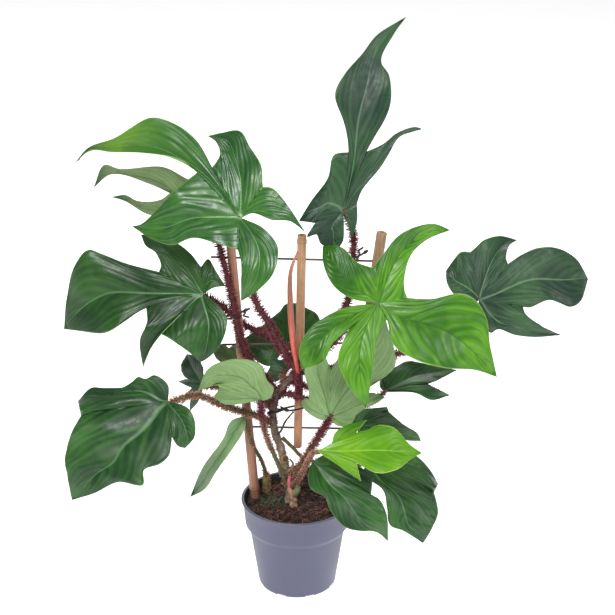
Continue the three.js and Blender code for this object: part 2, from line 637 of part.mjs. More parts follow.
// The petiole ends just under the blade, which trims its tip.
function petioleLine(leaf) {
  const lobes = makeLobes(leaf);
  const inward = lobes[Math.floor(lobes.length / 2)].rib(0.1).setLength(5);
  const end = inward.setZ(inward.z + (leaf.under ? 1.5 : -1.5));
  return [...leaf.petiole, placeLeaf(new THREE.Object3D(), leaf).localToWorld(end).toArray()];
}

function makeLeaf(name, leaf, cutters) {
  const look = material(COLOURS[leaf.colour], 0.35);
  const blade = placeLeaf(meshOf(`blade_${name}`, bladeSolid(leaf, BLADE.thickness), look), leaf);
  const line = petioleLine(leaf);
  const { root, tip } = leaf.stalk ?? STALK;
  const radius = tapered(root, tip);
  const rod = limb(line, radius, { steps: Math.max(5, Math.round(line.length * 1.5)) });
  const guards = [BLADE.thickness, BLADE.thickness + 2 * GAP].map((thickness) => (
    bladeSolid(leaf, thickness).transform(blade.matrixWorld.elements)
  ));
  const petiole = cutBy(joined([rod, ...bristles(line, radius)]), [...guards, ...cutters]);
  return new THREE.Group().add(blade, meshOf(`petiole_${name}`, petiole, material(COLOURS.bristles, 0.6)));
}

// Assembly

const group = new THREE.Group();
const add = (name, solid, colour, roughness) => group.add(meshOf(name, solid, material(colour, roughness)));

const stemGuard = stemSolid(GAP);
const stubGuard = stubSolid(GAP);
const wires = Object.values(WIRES).map((wire) => wireSolid(wire, GAP));
const canes = Object.values(CANES).map((cane) => caneSolid(cane, GAP));
const ties = Object.values(TIES).map((tie) => tieSolid(tie, GAP));
const bent = [stemGuard, stubGuard, sheathSolid(GAP), ...canes, ...wires, ...ties];

add("pot", makePot(), COLOURS.pot, 0.5);
add("soil", makeSoil([stemGuard, stubGuard, canes[0], canes[2]]), COLOURS.soil, 1);
add("main_stem", stemSolid(), COLOURS.wood, 0.8);
add("stub_left", stubSolid(), COLOURS.stub, 0.7);
add("new_leaf_sheath", cutBy(sheathSolid(), [stemGuard]), COLOURS.sheath, 0.5);
const aerialRoot = limb(AERIAL_ROOT, tapered(1.8, 1.2), { steps: 6 });
add("aerial_root", cutBy(aerialRoot, [stemGuard]), COLOURS.root, 0.8);
Object.entries(CANES).forEach(([name, cane]) => (
  add(`cane_${name}`, cutBy(caneSolid(cane), wires), COLOURS.bamboo, 0.5)
));
Object.entries(WIRES).forEach(([name, wire]) => add(`wire_${name}`, wireSolid(wire), COLOURS.wire, 0.6));
Object.entries(TIES).forEach(([name, tie]) => add(`tie_${name}`, tieSolid(tie), COLOURS.tie, 0.5));
Object.entries(LEAVES).forEach(([name, leaf]) => group.add(makeLeaf(name, leaf, bent)));

export default group;
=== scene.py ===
"""A potted philodendron on a bamboo fan rack: its looks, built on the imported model.

Sizes are in millimetres, and each finished piece is scaled to metres at its place.
"""
import bisect
import logging
import math
import random
from collections.abc import Callable, Sequence
from dataclasses import dataclass
from enum import Enum
from functools import cached_property, lru_cache
from typing import Any

import bmesh
import bpy
from mathutils import Matrix, Quaternion, Vector, noise


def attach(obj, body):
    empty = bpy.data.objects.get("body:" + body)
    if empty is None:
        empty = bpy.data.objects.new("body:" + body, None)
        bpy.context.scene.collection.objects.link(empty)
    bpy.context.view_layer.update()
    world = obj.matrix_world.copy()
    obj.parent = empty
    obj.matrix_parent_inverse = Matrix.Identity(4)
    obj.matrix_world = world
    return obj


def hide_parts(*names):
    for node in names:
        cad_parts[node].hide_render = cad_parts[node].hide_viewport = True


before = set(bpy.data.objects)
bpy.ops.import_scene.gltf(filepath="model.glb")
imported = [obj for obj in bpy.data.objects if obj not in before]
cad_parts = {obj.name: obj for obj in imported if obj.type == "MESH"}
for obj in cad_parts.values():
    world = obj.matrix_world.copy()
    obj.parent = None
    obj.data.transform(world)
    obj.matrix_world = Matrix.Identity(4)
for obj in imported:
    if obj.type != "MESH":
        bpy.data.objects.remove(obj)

Point = tuple[float, float, float]
Pixel = tuple[float, float]
Span = tuple[float, float]
Swatch = tuple[int, int, int]
Mesh = bmesh.types.BMesh
Socket = bpy.types.NodeSocket
Piece = bpy.types.Object

LOG = logging.getLogger("scene")
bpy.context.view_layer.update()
MM = 0.001
SEED = 7

# Driving dimensions
POT_SIDES = 128
POT_OUTSIDE = (
    (0, 0), (55.5, 0), (57.4, 0.5), (58.6, 1.7), (59.5, 5), (66, 49), (72.2, 92), (72.6, 93.9), (73.6, 95.6),
    (78, 101.6), (79, 103.2), (79.4, 105), (81, 123), (82.4, 139), (82.9, 140), (84, 140.6), (84.8, 141.4),
    (85, 142.3), (84.9, 143.3), (84.2, 144),
)
POT_INSIDE = ((81, 144), (80.5, 143), (79.7, 132), (76.5, 104), (70.5, 94), (57.7, 6), (56, 2.5), (0, 2.5))
POT_LIP = 143
NOTCHES = 8
NOTCH_ANGLE = -70
NOTCH_SIZE = (20, 16, 8)
NOTCH_REACH = 64
SOIL_TOP = 131
SOIL_RADIUS = 78.6
SOIL_WALL = ((76.5, 118), (75.6, 104.3), (69.7, 94.3), (56.9, 6.3), (55.2, 2.8), (0, 2.8))
SOIL_SIDES = 96
RACK_FOOT = 20
RACK_LEAN = 14 / 428
RACK_SOIL = 132
WIRE_RADIUS = 1.6
TIE_RADIUS = 1.5
KNOT_SWELL = 1.3
KNOT_LENGTH = 0.022
BLADE_THICKNESS = 0.8
BLADE_ROWS = 52
BLADE_COLUMNS = 12
BLADE_WELD = 0.02
SMOOTHINGS = 20

# The bend of a lobe, as shares of its length or width
ARCH = 0.07
DROOP = 0.12
CUP = 0.12
WAVE = 0.1
WAVES = 3
WAVE_STEP = 1.7
BULGE = 0.2

# The pleats of a blade, which the shape and the finish share
VEIN_LEAN = 0.45
UNEVEN = 0.012
UNEVEN_TURNS = 23.0
FULL_SWELL = 30
SWELL = 2.4
SWELL_TURNS = 0.035
RIPPLE = 1.3
RIPPLE_TURNS = 11
RIPPLE_STEP = 3
FOLD_SHARES = (0.7, 0.9)
FOLD_TURNS = 2.6
FOLD_REACH = 1.15

# The front view that the leaves' outlines are drawn in, 615 pixels wide with y running down
EYE = (16, -2290, 1430)
PITCH = 23
FOCAL = 1708
MIDDLE = 307.5

# The curve that a screen's colours follow
KNEE = 0.04045
FLAT = 12.92
OFFSET = 0.055
POWER = 2.4


def paint(swatch: Swatch) -> tuple[float, float, float, float]:
    """Makes a linear colour with full alpha.

    Args:
        swatch: red, green and blue from 0 to 255 as a screen shows them.

    Returns:
        The linear colour.
    """
    shares = [channel / 255 for channel in swatch]
    red, green, blue = (
        share / FLAT if share <= KNEE else ((share + OFFSET) / (1 + OFFSET)) ** POWER for share in shares
    )
    return (red, green, blue, 1.0)


# Finishes

NOISE_SPAN = (0.3, 0.7)
CLOUD_DETAIL = 3.0
GRAIN_DETAIL = 5.0
GRAIN_FINER = 9.0
VEIN_SPAN = (-0.9, -1.0)
LINES = 4
LINE_SPAN = (-0.2, 1.0)
STREAK_TURNS = 1.3
RIB_WIDTHS = (0.06, 0.025)
RIB_SPAN = (1.0, 0.35)
MARGIN_SPAN = (0.965, 0.99)
LONG_SPAN = (0.35, 0.65)
LONG_DETAIL = 4.0
FLECK_SPAN = (0.5, 0.68)
FLECK_FINER = 7.0
FLECK_DETAIL = 2.0


class NodeBoard:
    """A node tree, with the few moves that every finish makes on it."""

    def __init__(self, tree: bpy.types.NodeTree) -> None:
        """Takes the tree that the nodes go into."""
        self.tree = tree

    def node(self, kind: str, inputs: dict[str | int, Any] | None = None, **options: Any) -> bpy.types.Node:
        """Adds a node.

        Args:
            kind: the node's type without its ShaderNode prefix.
            inputs: values or sockets for its inputs, by name or number.
            options: the node's own settings.

        Returns:
            The new node.
        """
        made = self.tree.nodes.new("ShaderNode" + kind)
        for option, value in options.items():
            setattr(made, option, value)
        for key, value in (inputs or {}).items():
            if isinstance(value, Socket):
                self.tree.links.new(value, made.inputs[key])
            else:
                made.inputs[key].default_value = value
        return made

    def math(self, operation: str, first: Any, second: Any = 0.0) -> Socket:
        """Adds a sum of two numbers or sockets."""
        return self.node("Math", {0: first, 1: second}, operation=operation).outputs[0]

    def times(self, first: Any, second: Any) -> Socket:
        """Multiplies two numbers or sockets."""
        return self.math("MULTIPLY", first, second)

    def weighed(self, *parts: tuple[Socket, float]) -> Socket:
        """Adds up sockets.

        Args:
            parts: each socket with its weight.

        Returns:
            The socket of the sum.
        """
        whole = self.times(*parts[0])
        for part in parts[1:]:
            whole = self.math("ADD", whole, self.times(*part))
        return whole

    def ranged(self, value: Any, start: float, end: float, low: float = 0.0, high: float = 1.0) -> Socket:
        """Maps a value smoothly, so that start gives low and end gives high."""
        inputs = {"Value": value, "From Min": start, "From Max": end, "To Min": low, "To Max": high}
        return self.node("MapRange", inputs, interpolation_type="SMOOTHSTEP").outputs["Result"]

    def mixed(self, share: Any, first: Any, second: Any) -> Socket:
        """Mixes two colours, each a swatch or a socket, by the share of the second."""
        first, second = (paint(end) if isinstance(end, tuple) else end for end in (first, second))
        return self.node("Mix", {0: share, 6: first, 7: second}, data_type="RGBA").outputs[2]

    def tinted(self, body: Any, colour: Any, mask: Socket, share: float) -> Socket:
        """Lays a colour over a body where a mask says, as strongly as its share says."""
        return self.mixed(self.times(mask, share), body, colour)

    def noise(self, place: Socket, scale: Any, detail: float) -> Socket:
        """Adds a noise at a place."""
        return self.node("TexNoise", {"Vector": place, "Scale": scale, "Detail": detail}).outputs["Fac"]

    def chart(self) -> tuple[Socket, Socket]:
        """Reads the u and v of the piece's own map."""
        split = self.node("SeparateXYZ", {0: self.node("UVMap", uv_map="UVMap").outputs[0]})
        return split.outputs[0], split.outputs[1]

    def group(self, tree: bpy.types.NodeTree, **values: float) -> dict[str, Socket]:
        """Places a shared effect.

        Args:
            tree: the effect.
            values: the effect's inputs by name.

        Returns:
            Its output sockets by name.
        """
        placed = self.tree.nodes.new("ShaderNodeGroup")
        placed.node_tree = tree
        for name, value in values.items():
            placed.inputs[name].default_value = value
        return {socket.name: socket for socket in placed.outputs}


class Effect(NodeBoard):
    """A shared effect: a shader node group with named inputs and outputs, built once."""

    def __init__(self, name: str, inputs: dict[str, float], outputs: Sequence[str]) -> None:
        """Makes the empty group.

        Args:
            name: the group's name.
            inputs: its number inputs with their usual values.
            outputs: the names of its outputs.
        """
        super().__init__(bpy.data.node_groups.new(name, "ShaderNodeTree"))
        for socket, value in inputs.items():
            made = self.tree.interface.new_socket(socket, in_out="INPUT", socket_type="NodeSocketFloat")
            made.default_value = value
        for socket in outputs:
            self.tree.interface.new_socket(socket, in_out="OUTPUT", socket_type="NodeSocketFloat")
        self.given = self.tree.nodes.new("NodeGroupInput").outputs
        self.put = self.tree.nodes.new("NodeGroupOutput").inputs

    def send(self, **results: Socket) -> bpy.types.NodeTree:
        """Links each result to the output of its name.

        Args:
            results: the sockets by the name of their output.

        Returns:
            The finished group.
        """
        for name, socket in results.items():
            self.tree.links.new(socket, self.put[name])
        return self.tree


@lru_cache(maxsize=None)
def mottling() -> bpy.types.NodeTree:
    """Builds the cloudy and fine unevenness that every surface has.

    Returns:
        The group, with outputs Cloud and Grain from 0 to 1.
    """
    effect = Effect("mottling", {"Size": 30.0}, ("Cloud", "Grain"))
    place = effect.node("TexCoord").outputs["Object"]
    per_metre = effect.math("DIVIDE", 1 / MM, effect.given["Size"])
    cloud = effect.noise(place, per_metre, CLOUD_DETAIL)
    grain = effect.noise(place, effect.times(per_metre, GRAIN_FINER), GRAIN_DETAIL)
    return effect.send(Cloud=effect.ranged(cloud, *NOISE_SPAN), Grain=effect.ranged(grain, *NOISE_SPAN))


@lru_cache(maxsize=None)
def leaf_veins() -> bpy.types.NodeTree:
    """Builds the veins of a lobe from its own map, with u along the rib and v out to the margin.

    Returns:
        The group, with outputs Pleat, Vein, Line, Streak, Rib and Margin from 0 to 1.
    """
    outputs = ("Pleat", "Vein", "Line", "Streak", "Rib", "Margin")
    effect = Effect("leaf veins", {"Count": 9.0, "Sweep": 0.3}, outputs)
    along, out = effect.chart()
    leaning = effect.math("ADD", effect.times(out, 1 - VEIN_LEAN), VEIN_LEAN)
    swept = effect.times(effect.times(out, leaning), effect.given["Sweep"])
    uneven = effect.times(effect.math("SINE", effect.times(along, UNEVEN_TURNS)), UNEVEN)
    run = effect.math("ADD", effect.math("SUBTRACT", along, swept), uneven)
    phase = effect.times(run, effect.given["Count"])
    wave = effect.math("SINE", effect.times(phase, math.tau))
    lines = effect.math("SINE", effect.times(phase, LINES * math.tau))
    strip = effect.node("CombineXYZ", {0: effect.times(phase, STREAK_TURNS), 1: out, 2: along}).outputs[0]
    narrow = effect.ranged(along, 0.0, 1.0, *RIB_WIDTHS)
    return effect.send(
        Pleat=effect.ranged(wave, -1.0, 1.0),
        Vein=effect.ranged(wave, *VEIN_SPAN),
        Line=effect.ranged(lines, *LINE_SPAN),
        Streak=effect.ranged(effect.noise(strip, 1.0, CLOUD_DETAIL), *NOISE_SPAN),
        Rib=effect.ranged(effect.math("DIVIDE", out, narrow), *RIB_SPAN),
        Margin=effect.ranged(out, *MARGIN_SPAN),
    )


@lru_cache(maxsize=None)
def long_grain() -> bpy.types.NodeTree:
    """Builds a grain that runs along a rod by its own map, with u along it and v round it.

    Returns:
        The group, with outputs Streak and Fleck from 0 to 1.
    """
    effect = Effect("long grain", {"Along": 6.0, "Around": 3.0}, ("Streak", "Fleck"))
    along, around = effect.chart()
    angle = effect.times(around, math.tau)
    across = [effect.times(effect.math(way, angle), effect.given["Around"]) for way in ("SINE", "COSINE")]
    down = effect.times(along, effect.given["Along"])
    place = effect.node("CombineXYZ", {0: across[0], 1: across[1], 2: down}).outputs[0]
    streak = effect.noise(place, 1.0, LONG_DETAIL)
    fleck = effect.noise(place, FLECK_FINER, FLECK_DETAIL)
    return effect.send(Streak=effect.ranged(streak, *LONG_SPAN), Fleck=effect.ranged(fleck, *FLECK_SPAN))


class Surface(NodeBoard):
    """A material with one Principled shader and the mottling that every surface has."""

    def __init__(self, name: str, size: float, shine: float = 0.5) -> None:
        """Starts the material.

        Args:
            name: the finish's name.
            size: the size of its clouds.
            shine: the level of its specular light.
        """
        self.material = bpy.data.materials.new(name)
        self.material.use_nodes = True
        super().__init__(self.material.node_tree)
        self.shader = self.tree.nodes["Principled BSDF"]
        self.shader.inputs["Specular IOR Level"].default_value = shine
        self.spots = self.group(mottling(), Size=size)

    def dressed(self, colour: Socket, roughness: Span, height: Socket, depth: float) -> bpy.types.Material:
        """Links the colour, roughness and relief to the shader.

        Args:
            colour: the socket of the base colour.
            roughness: the least and most roughness, which the grain picks from.
            height: the socket of the relief from 0 to 1.
            depth: the millimetres that a height of 1 stands for.

        Returns:
            The finished material.
        """
        rough = self.ranged(self.spots["Grain"], 0.0, 1.0, *roughness)
        relief = self.node("Bump", {"Strength": 1.0, "Distance": depth * MM, "Height": height})
        looks = {"Base Color": colour, "Roughness": rough, "Normal": relief.outputs["Normal"]}
        for name, socket in looks.items():
            self.tree.links.new(socket, self.shader.inputs[name])
        return self.material


@dataclass(frozen=True)
class Patch:
    """A frayed patch of another colour round one place, fading between two shares of its reach."""

    colour: Swatch
    centre: Point
    reach: float
    fades: Span = (1.8, 0.4)
    share: float = 0.8

    def laid(self, board: Surface, body: Socket) -> Socket:
        """Lays the patch over a surface.

        Args:
            board: the material.
            body: the socket of the colour under it.

        Returns:
            The socket of the colour with the patch.
        """
        middle = tuple(value * MM for value in self.centre)
        inputs = {0: board.node("TexCoord").outputs["Object"], 1: middle}
        away = board.node("VectorMath", inputs, operation="DISTANCE").outputs["Value"]
        ragged = board.ranged(board.spots["Cloud"], 0.0, 1.0, 0.0, self.reach * MM)
        far, near = (fade * self.reach * MM for fade in self.fades)
        mask = board.ranged(board.math("ADD", away, ragged), far, near)
        return board.tinted(body, self.colour, mask, self.share)


@dataclass(frozen=True)
class LeafFinish:
    """The waxy upper side of a leaf, with sunk veins and a thin pale margin."""

    name: str
    deep: Swatch
    fresh: Swatch
    vein: Swatch
    rib: Swatch
    margin: Swatch
    gloss: float
    pleat_depth: float
    pleats: float = 9.0
    sweep: float = 0.3
    fold: float = 0.5
    columns: int = BLADE_COLUMNS
    streaks: float = 0.35
    shine: float = 0.5
    patches: tuple[Patch, ...] = ()

    CLOUDS = 80.0
    # PLEAT_LIGHT is a painted light on the raised pleats. CLOUD_LIGHT is the leaf's own uneven tone.
    PLEAT_LIGHT = 0.2
    CLOUD_LIGHT = 0.6
    LIGHT_SPAN = (0.1, 0.8)
    VEIN_SHARE = 0.07
    RIB_SHARE = 0.6
    ROUGHER = 0.12
    LINE_DEPTH = 0.02
    RIB_DEPTH = 0.9
    CLOUD_DEPTH = 0.5

    def build(self) -> bpy.types.Material:
        """Makes the material.

        Returns:
            The finished material.
        """
        board = Surface(self.name, self.CLOUDS, self.shine)
        cloud = board.spots["Cloud"]
        veins = board.group(leaf_veins(), Count=self.pleats, Sweep=self.sweep)
        pleat, rib, line = veins["Pleat"], veins["Rib"], veins["Line"]
        # Painted light: the pleat share makes the raised pleats between the veins lighter, as if light fell
        # on them. The streak and cloud shares are the leaf's own uneven tone.
        light = board.weighed(
            (pleat, self.PLEAT_LIGHT), (veins["Streak"], self.streaks), (cloud, self.CLOUD_LIGHT)
        )
        dim, lit = self.LIGHT_SPAN
        body = board.mixed(board.ranged(light, dim, lit + self.streaks), self.deep, self.fresh)
        for patch in self.patches:
            body = patch.laid(board, body)
        body = board.tinted(body, self.vein, board.math("MAXIMUM", veins["Vein"], line), self.VEIN_SHARE)
        body = board.tinted(body, self.rib, rib, self.RIB_SHARE)
        body = board.mixed(veins["Margin"], body, self.margin)
        height = board.weighed(
            (pleat, 1.0), (line, -self.LINE_DEPTH), (rib, -self.RIB_DEPTH), (cloud, self.CLOUD_DEPTH)
        )
        return board.dressed(body, (self.gloss, self.gloss + self.ROUGHER), height, self.pleat_depth)


@dataclass(frozen=True)
class UndersideFinish:
    """The matt, pale underside of a leaf, where the ribs stand proud."""

    name: str
    pale: Swatch
    shade: Swatch
    rib: Swatch
    pleats: float = 9.0
    sweep: float = 0.3
    curl: float = 0.0

    CLOUDS = 40.0
    VEIN_SHARE = 0.4
    RIB_SHARE = 0.7
    VEIN_DEPTH = 0.5
    DEPTH = 0.5
    ROUGH = (0.55, 0.72)
    CURL = (36, 66, 34)
    CURL_SPAN = (0.72, 0.95)

    def build(self) -> bpy.types.Material:
        """Makes the material, dark where its tip curls to show the upper side.

        Returns:
            The finished material.
        """
        board = Surface(self.name, self.CLOUDS)
        veins = board.group(leaf_veins(), Count=self.pleats, Sweep=self.sweep)
        light = board.weighed((veins["Streak"], 0.5), (board.spots["Cloud"], 0.5))
        body = board.mixed(light, self.shade, self.pale)
        body = board.tinted(body, self.rib, veins["Vein"], self.VEIN_SHARE)
        body = board.tinted(body, self.rib, veins["Rib"], self.RIB_SHARE)
        along, _ = board.chart()
        body = board.mixed(board.ranged(along, *self.CURL_SPAN, 0.0, self.curl), body, self.CURL)
        height = board.weighed((veins["Rib"], 1.0), (veins["Vein"], self.VEIN_DEPTH))
        return board.dressed(body, self.ROUGH, height, self.DEPTH)


@dataclass(frozen=True)
class GrainFinish:
    """A rod with a long grain, from its root colour to its tip colour along its own map."""

    name: str
    root: Swatch
    tip: Swatch
    streak: Swatch
    fleck: Swatch
    along: float
    around: float
    rough: float
    depth: float
    streaks: float = 0.5

    CLOUDS = 12.0
    SHIFT = 0.12
    FLECK_SHARE = 0.6
    ROUGHER = 0.2
    GRAIN_DEPTH = 0.5

    def build(self) -> bpy.types.Material:
        """Makes the material.

        Returns:
            The finished material.
        """
        board = Surface(self.name, self.CLOUDS)
        grain = board.group(long_grain(), Along=self.along, Around=self.around)
        along, _ = board.chart()
        shift = board.ranged(board.spots["Cloud"], 0.0, 1.0, -self.SHIFT, self.SHIFT)
        body = board.mixed(board.ranged(board.math("ADD", along, shift), 0.0, 1.0), self.root, self.tip)
        body = board.tinted(body, self.streak, grain["Streak"], self.streaks)
        body = board.tinted(body, self.fleck, grain["Fleck"], self.FLECK_SHARE)
        height = board.weighed((grain["Streak"], 1.0), (board.spots["Grain"], self.GRAIN_DEPTH))
        return board.dressed(body, (self.rough, min(self.rough + self.ROUGHER, 1.0)), height, self.depth)


@dataclass(frozen=True)
class MottledFinish:
    """A cloudy, grained surface, with or without a patch of another colour."""

    name: str
    dark: Swatch
    light: Swatch
    size: float
    rough: float
    depth: float
    patch: Patch | None = None

    ROUGHER = 0.15

    def build(self) -> bpy.types.Material:
        """Makes the material.

        Returns:
            The finished material.
        """
        board = Surface(self.name, self.size)
        grain = board.spots["Grain"]
        body = board.mixed(grain, self.dark, self.light)
        if self.patch:
            body = self.patch.laid(board, body)
        return board.dressed(body, (self.rough, min(self.rough + self.ROUGHER, 1.0)), grain, self.depth)


@dataclass(frozen=True)
class BristleFinish:
    """Bristles whose map's u is how red they are, and v runs from their root to their point."""

    name: str
    green: Swatch
    red: Swatch
    green_point: Swatch
    red_point: Swatch

    CLOUDS = 8.0
    REDDEST = 0.9
    SHIFT = 0.3
    POINT_SPAN = (0.2, 0.9)
    ROUGH = (0.45, 0.65)
    DEPTH = 0.1

    def build(self) -> bpy.types.Material:
        """Makes the material.

        Returns:
            The finished material.
        """
        board = Surface(self.name, self.CLOUDS)
        red, out = board.chart()
        redness = board.ranged(red, 0.0, self.REDDEST)
        foot = board.mixed(redness, self.green, self.red)
        point = board.mixed(redness, self.green_point, self.red_point)
        shift = board.ranged(board.spots["Cloud"], 0.0, 1.0, -self.SHIFT, self.SHIFT)
        # The colour mixes towards the paler point colour from root to point. On the red petiole bristles this
        # is partly a painted highlight.
        body = board.mixed(board.ranged(board.math("ADD", out, shift), *self.POINT_SPAN), foot, point)
        return board.dressed(body, self.ROUGH, board.spots["Grain"], self.DEPTH)


class Coat(Enum):
    """The upper sides that the plant's leaves have."""

    GLOSSY = LeafFinish(
        "leaf glossy", deep=(22, 70, 28), fresh=(58, 108, 36), vein=(16, 56, 22), rib=(88, 134, 76),
        margin=(96, 136, 60), gloss=0.3, pleat_depth=0.14, pleats=5.0, sweep=0.85, fold=0.5, columns=24,
        patches=(Patch((106, 150, 44), (-225, 76, 700), 70),),
    )
    DEEP = LeafFinish(
        "leaf deep", deep=(14, 46, 18), fresh=(44, 88, 30), vein=(12, 44, 20), rib=(84, 126, 78),
        margin=(72, 112, 56), gloss=0.32, pleat_depth=0.12, pleats=7.0, sweep=0.7, fold=0.3, columns=20,
        shine=0.4,
    )
    DARK = LeafFinish(
        "leaf dark", deep=(18, 54, 24), fresh=(54, 100, 40), vein=(16, 48, 26), rib=(84, 124, 80),
        margin=(70, 112, 58), gloss=0.36, pleat_depth=0.08, sweep=0.45, fold=0.16, streaks=0.3, shine=0.38,
    )
    MISTY = LeafFinish(
        "leaf misty", deep=(14, 44, 28), fresh=(46, 84, 46), vein=(20, 48, 32), rib=(92, 124, 92),
        margin=(70, 104, 66), gloss=0.4, pleat_depth=0.1, sweep=0.45, fold=0.25, streaks=0.3, shine=0.42,
    )
    MID = LeafFinish(
        "leaf mid", deep=(26, 66, 26), fresh=(70, 112, 40), vein=(24, 62, 28), rib=(92, 134, 74),
        margin=(104, 144, 76), gloss=0.34, pleat_depth=0.3, sweep=0.6,
    )
    FADED = LeafFinish(
        "leaf faded", deep=(78, 106, 74), fresh=(128, 158, 110), vein=(90, 116, 84), rib=(66, 100, 54),
        margin=(160, 186, 140), gloss=0.3, pleat_depth=0.3, sweep=0.6,
        patches=(Patch((70, 124, 40), (-86, 1, 268), 26),),
    )
    BRIGHT = LeafFinish(
        "leaf bright", deep=(36, 90, 8), fresh=(88, 146, 24), vein=(30, 76, 16), rib=(40, 84, 24),
        margin=(124, 164, 72), gloss=0.3, pleat_depth=0.3, pleats=10.0, sweep=0.35, fold=0.5, columns=14,
        streaks=0.5, shine=0.35,
        patches=(
            Patch((34, 84, 12), (65, -43, 535), 44), Patch((34, 84, 12), (30, -89, 450), 34),
            Patch((38, 90, 12), (135, -40, 560), 34),
        ),
    )
    LIME = LeafFinish(
        "leaf lime", deep=(72, 130, 12), fresh=(110, 162, 22), vein=(66, 120, 16), rib=(136, 186, 60),
        margin=(160, 200, 80), gloss=0.3, pleat_depth=0.15, sweep=0.4, fold=0.3, streaks=0.4, shine=0.35,
        patches=(Patch((62, 122, 14), (85, -70, 292), 32),),
    )


UNDERSIDE = UndersideFinish("leaf underside", (134, 164, 108), (104, 136, 82), (76, 104, 56), sweep=0.6)
# Painted shade: a darker copy of the underside for the back leaves, which lie in the shade of the leaves
# above them.
SHADED_UNDERSIDE = UndersideFinish(
    "shaded underside", (116, 138, 92), (78, 100, 58), (64, 86, 48), sweep=0.6, curl=0.85
)
YOUNG_UNDERSIDE = UndersideFinish("young underside", (150, 188, 80), (122, 164, 60), (96, 134, 44))

BAMBOO = GrainFinish(
    "bamboo", root=(192, 140, 106), tip=(226, 176, 136), streak=(184, 124, 96), fleck=(136, 92, 72),
    along=5, around=4, rough=0.34, depth=0.25,
)
AGED_BAMBOO = GrainFinish(
    "aged bamboo", root=(176, 124, 98), tip=(202, 148, 116), streak=(134, 98, 82), fleck=(92, 70, 62),
    along=7, around=4, rough=0.36, depth=0.3, streaks=0.6,
)
GREY_BAMBOO = GrainFinish(
    "grey bamboo", root=(142, 112, 86), tip=(176, 140, 108), streak=(108, 88, 70), fleck=(84, 66, 54),
    along=7, around=4, rough=0.36, depth=0.3, streaks=0.6,
)
WIRE = GrainFinish(
    "rack wire", root=(78, 62, 62), tip=(96, 72, 70), streak=(54, 44, 48), fleck=(126, 100, 92),
    along=40, around=2, rough=0.55, depth=0.2,
)
TIE = GrainFinish(
    "tie", root=(18, 18, 22), tip=(22, 22, 28), streak=(34, 34, 44), fleck=(60, 62, 76),
    along=20, around=1, rough=0.42, depth=0.1,
)
STEM_BARK = GrainFinish(
    "stem bark", root=(176, 162, 138), tip=(62, 28, 34), streak=(96, 82, 70), fleck=(190, 176, 152),
    along=26, around=1.5, rough=0.7, depth=0.9,
)
STEM_BASE = GrainFinish(
    "stem base", root=(160, 128, 104), tip=(214, 160, 138), streak=(128, 96, 80), fleck=(232, 200, 178),
    along=7, around=2, rough=0.6, depth=0.8, streaks=0.7,
)
BULB = GrainFinish(
    "green bulb", root=(150, 116, 88), tip=(70, 104, 70), streak=(96, 128, 92), fleck=(196, 176, 140),
    along=3, around=2, rough=0.45, depth=0.4,
)
BUD = GrainFinish(
    "pink bud", root=(206, 120, 116), tip=(222, 74, 104), streak=(190, 84, 92), fleck=(240, 170, 168),
    along=4, around=2, rough=0.45, depth=0.3,
)
SHOOT = GrainFinish(
    "shoot", root=(86, 98, 66), tip=(112, 124, 88), streak=(70, 78, 58), fleck=(140, 120, 90),
    along=5, around=2, rough=0.55, depth=0.3,
)
SHEATH = GrainFinish(
    "red sheath", root=(206, 74, 66), tip=(196, 140, 112), streak=(222, 124, 104), fleck=(150, 70, 58),
    along=1.6, around=3, rough=0.36, depth=0.3, streaks=0.35,
)
STUB = GrainFinish(
    "fibrous stub", root=(84, 82, 52), tip=(138, 140, 78), streak=(104, 88, 52), fleck=(176, 170, 110),
    along=4, around=4, rough=0.7, depth=0.8, streaks=0.7,
)
ROOT = GrainFinish(
    "aerial root", root=(72, 60, 48), tip=(62, 48, 38), streak=(60, 48, 36), fleck=(110, 96, 76),
    along=12, around=1.5, rough=0.75, depth=0.3,
)
PETIOLE_SKIN = GrainFinish(
    "petiole skin", root=(76, 92, 48), tip=(88, 14, 36), streak=(76, 50, 40), fleck=(138, 84, 74),
    along=9, around=2.5, rough=0.5, depth=0.4,
)

# The paler points are partly the bristles' own paler tips and partly a painted pinkish highlight.
BRISTLE = BristleFinish(
    "bristles", green=(132, 96, 72), red=(80, 14, 34), green_point=(208, 152, 134), red_point=(136, 46, 64)
)
SPIKE = BristleFinish(
    "bark spikes", green=(110, 92, 74), red=(84, 40, 44), green_point=(150, 132, 110), red_point=(120, 72, 74)
)

CLEAR_EDGE = (1.3, 0.7)
ALGAE = ((-40, 8, 131), 30, CLEAR_EDGE, 1.0)
PITH = MottledFinish("cane end", (120, 92, 66), (196, 160, 120), 6, 0.8, 0.4)
SCAR_RIM = MottledFinish("scar rim", (150, 120, 82), (196, 166, 118), 4, 0.8, 0.5)
SCAR = MottledFinish(
    "cut scar", (84, 60, 42), (132, 100, 68), 2, 0.8, 0.6,
    Patch((44, 30, 24), (-17, -5, 211), 2.4, CLEAR_EDGE, 1.0),
)
POT_PLASTIC = MottledFinish("pot plastic", (79, 80, 103), (87, 88, 112), 9, 0.36, 0.04)
